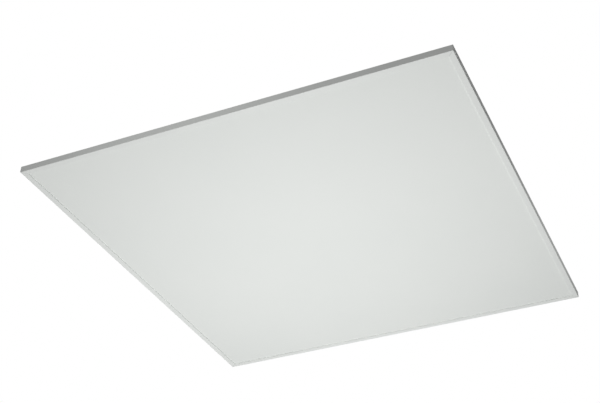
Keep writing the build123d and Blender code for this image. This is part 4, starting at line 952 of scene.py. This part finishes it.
def leverOutline(s):
    # round the pivot, along the underside to the tip, whose nose is a quarter circle, and back over the
    # finger grip, depth (1 - cos(2 pi x / pitch)) / 2
    px, pz = s["pivot"]
    top, tip, nose = pz + s["barrel"], px + s["reach"], s["tipRound"]
    under = top - s["thickness"]
    last = 2 * np.pi + math.asin((under - pz) / s["barrel"])
    angle = np.linspace(np.pi / 2, last, s["barrelPoints"])
    barrel = np.stack([px + s["barrel"] * np.cos(angle), pz + s["barrel"] * np.sin(angle)], -1)
    bottom = roundedPath([(px + s["grip"], under), (tip, under), (tip, top - nose)], nose)
    x = np.linspace(tip, tip - s["grip"], s["gripPoints"])
    wave = 0.5 - 0.5 * np.cos(2 * np.pi * (tip - x) / s["gripPitch"])
    grip = s["gripDepth"] * wave * (x < tip - nose / 2)
    drop = nose * (1 - np.sqrt(np.clip(1 - (1 - (tip - x) / nose) ** 2, 0, 1))) * (x > tip - nose)
    ridged = np.stack([x, top - grip - drop], -1)
    x = np.linspace(tip - s["grip"] - s["gripGap"], px + s["backStart"], s["backPoints"])
    back = np.stack([x, np.full(s["backPoints"], top)], -1)
    return np.concatenate([barrel, bottom[:-1], ridged, back])


def makeLevers(look):
    # an outline in x and z carried along y, and a turned stub that it pivots on
    s = leverSettings
    outline = leverOutline(s)
    stub, end = s["stub"], s["stubReach"]
    pin = roundedPath([(0.0, -end), (stub, -end), (stub, end), (0.0, end)], s["stubRound"])
    for word, (y, colour) in s["poles"].items():
        ends = roundedEnds(-s["half"], s["half"], s["endRound"])
        arm = carriedOutline(outline, *ends, sideways, (0.0, y, 0.0))
        trunnion = turned(pin, (s["pivot"][0], y, s["pivot"][1]), alongY, s["stubSegments"])
        makePiece(f"{word}Lever", [arm, trunnion], f"{word}_lever",
                  look[f"{colour}Plastic"], [f"terminal_lever_{word}"])
    print("levers made")


rimSettings = {
    "entryHeight": 15.5, "bore": 2.0, "flare": 0.9, "proud": 0.7, "rim": 3.5, "rimRound": 0.2,
    "sunk": 0.1, "play": 0.02, "mouthPoints": 7, "segments": 40,
}


def makeTerminalRims(look):
    # a collar round each wire entry, its mouth opening along a quarter of an ellipse: r = bore + flare
    # (1 - cos a), h = proud sin a, where h is the height above the end of the terminal block
    s = rimSettings
    angle = np.linspace(0.0, np.pi / 2, s["mouthPoints"])
    mouth = np.stack([s["bore"] + s["flare"] * (1 - np.cos(angle)), s["proud"] * np.sin(angle)], -1)
    outside = [(s["bore"] + s["flare"], s["proud"]), (s["rim"], s["proud"]), (s["rim"], -s["sunk"]),
               (s["bore"] + s["play"], -s["sunk"])]
    profile = np.concatenate([mouth, roundedPath(outside, (s["rimRound"], 0.0))[1:]])
    low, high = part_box("terminal_block")
    rims = []
    for face, way in ((low.x / mm, -1), (high.x / mm, 1)):
        ring = np.column_stack([profile[:, 0], face + way * profile[:, 1]])
        rims += [turned(ring, (0.0, y, s["entryHeight"]), alongX, s["segments"], None, True)
                 for y, _ in leverSettings["poles"].values()]
    makePiece("terminalRims", rims, "panel", look["terminalHousing"])
    print("terminal rims made")


clipSettings = {
    "out": (190.0, 289.5), "pivotHeight": 12.0, "knuckle": 2.0, "knuckleRound": 0.1, "pinHole": 1.05,
    "sheet": 0.8, "reach": 27.0, "hook": 12.6, "lip": 4.0, "bend": 1.2, "half": 5.7,
    "rib": 0.55, "ribHalf": 1.7, "ribSoft": 1.1, "ribStart": 4.0, "ribEnd": 24.0, "ribRun": 2.5,
    "linesAlong": 60, "linesAcross": 25, "linesInBend": 7, "segments": 28,
}


def clipStrip(s):
    # the strip's folded line, (y, z) of its middle, crossed by w over its width: z falls by rib in a
    # pressed groove along the flat arm
    arm = s["pivotHeight"] + s["knuckle"] - s["sheet"] / 2
    reach, tip = s["reach"] + s["sheet"] / 2, arm + s["hook"]
    corners = [(0.0, arm), (reach, arm), (reach, tip), (reach - s["lip"], tip)]
    path = roundedPath(corners, s["bend"], s["linesInBend"])
    run = np.concatenate([[0], np.cumsum(np.linalg.norm(np.diff(path, axis=0), axis=1))])
    keep = np.unique(np.concatenate([run, np.linspace(0, run[-1], s["linesAlong"])]))
    across = np.linspace(-s["half"], s["half"], s["linesAcross"])
    along, w = np.meshgrid(keep, across, indexing="ij")
    press = 1 - easedStep(np.abs(w), s["ribHalf"] - s["ribSoft"], s["ribHalf"])
    press = press * easedStep(along, s["ribStart"], s["ribStart"] + s["ribRun"])
    press = press * (1 - easedStep(along, s["ribEnd"] - s["ribRun"], s["ribEnd"]))
    y, z = np.interp(along, run, path[:, 0]), np.interp(along, run, path[:, 1])
    return w, y, z - s["rib"] * press


def makeClips(look):
    # the folded strip with its rolled knuckle at each corner, those at the back turned round z
    s = clipSettings
    w, y, z = clipStrip(s)
    hole, side, knuckle, rounding = s["pinHole"], s["half"], s["knuckle"], s["knuckleRound"]
    barrel = roundedPath([(hole, 0.0), (hole, -side), (knuckle, -side), (knuckle, side), (hole, side)],
                         (0.0, rounding, rounding))
    for row, way in (("front", 1), ("back", -1)):
        for end, hand in (("left", -1), ("right", 1)):
            px, py = hand * s["out"][0], -way * s["out"][1]
            sheet = thickStrip(np.stack([px + w * way, py + y * way, z], -1), s["sheet"])
            rolled = turned(barrel, (px, py, s["pivotHeight"]), alongX, s["segments"], None, True)
            makePiece(f"holdDownClip{row.title()}{end.title()}", [sheet, rolled], f"clip_{row}_{end}",
                      look["springSteel"], [f"hold_down_clip_{row}_{end}"])
    print("clips made")


foamSettings = {
    "half": 287.0, "low": 5.5, "high": 8.1, "step": 4.1, "opening": (-139.0, -119.0, -10.0, 10.0),
    "edge": 5.0, "edgeDrop": 0.7, "edgeLift": 0.3, "dip": 1.5, "dipReach": 6.0,
    "groove": 4.2, "grooveSoft": 1.2, "grooveTop": 7.0, "room": 1.0, "fill": 0.9,
}


def foamGrid(s):
    # even lines, and closer ones at the opening and at the groove's walls, with room between them
    x0, x1, y0, y1 = s["opening"]
    even = np.linspace(-s["half"], s["half"], int(2 * s["half"] / s["step"]) + 1)
    wall = s["groove"] + s["grooveSoft"]
    special = [y0, -wall, -s["groove"], 0.0, s["groove"], wall, y1]
    xs = np.unique(np.concatenate([even, [x0, x1]]).round(3))
    ys = np.unique(np.concatenate([even[np.abs(even) > wall + s["room"]], special]).round(3))
    return np.meshgrid(xs, ys, indexing="ij")


def makeFoam(look):
    # a sheet as two height fields: the top falls towards the edges and by dip exp(-(distance / reach)
    # squared) over each rivet's tail, and the bottom rises over the leads; a square opening stays clear
    # round the grommet, and a wall stands wherever a face has no neighbour
    s = foamSettings
    x, y = foamGrid(s)
    tails = np.array(trayRivets["places"] + bracketRivets["places"] + tabRivets["places"])
    pull = 1 - easedStep(np.minimum(s["half"] - np.abs(x), s["half"] - np.abs(y)), 0.0, s["edge"])
    away = np.min((x[..., None] - tails[:, 0]) ** 2 + (y[..., None] - tails[:, 1]) ** 2, -1)
    top = s["high"] - s["edgeDrop"] * pull - s["dip"] * np.exp(-away / s["dipReach"] ** 2)
    groove = 1 - easedStep(np.abs(y), s["groove"], s["groove"] + s["grooveSoft"])
    bottom = s["low"] + s["edgeLift"] * pull + (s["grooveTop"] - s["low"]) * groove
    points = np.concatenate([np.stack([x, y, h], -1).reshape(-1, 3) for h in (top, bottom)])
    index = np.arange(x.size).reshape(x.shape)
    quads = np.stack([index[:-1, :-1], index[1:, :-1], index[1:, 1:], index[:-1, 1:]], -1).reshape(-1, 4)
    mx, my = points[quads].mean(1)[:, :2].T
    x0, x1, y0, y1 = s["opening"]
    quads = quads[~((mx > x0) & (mx < x1) & (my > y0) & (my < y1))]
    sides = np.concatenate([quads[:, [k, (k + 1) % 4]] for k in range(4)])
    lonely = sides[~np.isin(sides @ [x.size, 1], sides @ [1, x.size])]
    walls = np.column_stack([lonely[:, ::-1], lonely + x.size])
    faces = np.concatenate([quads, quads[:, ::-1] + x.size, walls])
    piece = makePiece("backingFoam", [(points, faces, [])], "panel",
                      look["closedCellFoam"], ["backing_foam"], sharp=60)
    print("foam made")


markSettings = {"size": 3.4, "lift": 0.012, "row": -11.6, "cover": 43.5, "travel": 4.0, "smoothness": 3}


def makeMarks(look):
    # figures 1 2 3 under each selector's three stops, laid flat on the cover
    s = markSettings
    for word, centre in knobSettings["places"].items():
        figures = []
        for figure, stop in zip("123", (-1, 0, 1)):
            text = bpy.data.curves.new("figure", "FONT")
            text.body, text.size, text.resolution_u = figure, s["size"] * mm, s["smoothness"]
            text.align_x, text.align_y = "CENTER", "CENTER"
            holder = bpy.data.objects.new("figure", text)
            bpy.context.scene.collection.objects.link(holder)
            flat = bpy.data.meshes.new_from_object(holder)
            points = np.empty(len(flat.vertices) * 3)
            flat.vertices.foreach_get("co", points)
            place = (centre + stop * s["travel"], s["row"], s["cover"] + s["lift"])
            faces = [np.array(face.vertices) for face in flat.polygons]
            figures.append((points.reshape(-1, 3) / mm + place, np.empty((0, 4), int), faces))
            bpy.data.objects.remove(holder)
        makePiece(f"{word}PositionFigures", figures, "panel", look["printedInk"])
    print("figures made")


def build():
    view = bpy.context.scene.view_settings
    view.view_transform, view.look, view.exposure, view.gamma = "Standard", "None", 0.0, 1.0
    addCamera(cameraSettings)
    addRoom(lightSettings["room"])
    for name, settings in lightSettings["softBoxes"].items():
        addSoftBox(name, settings)
    addFarLamp(lightSettings["farLamp"])
    addFloor(lightSettings["floor"])
    print("camera and light set")
    look = makeFinishes()
    for make in (makeScrews, makeRivets, makeBushing, makeGrommet, makeConnector, makeCans, makeCoil,
                 makeTransformer, makeKnobs, makeLatch, makeLevers, makeTerminalRims, makeClips, makeFoam,
                 makeMarks):
        make(look)


build()
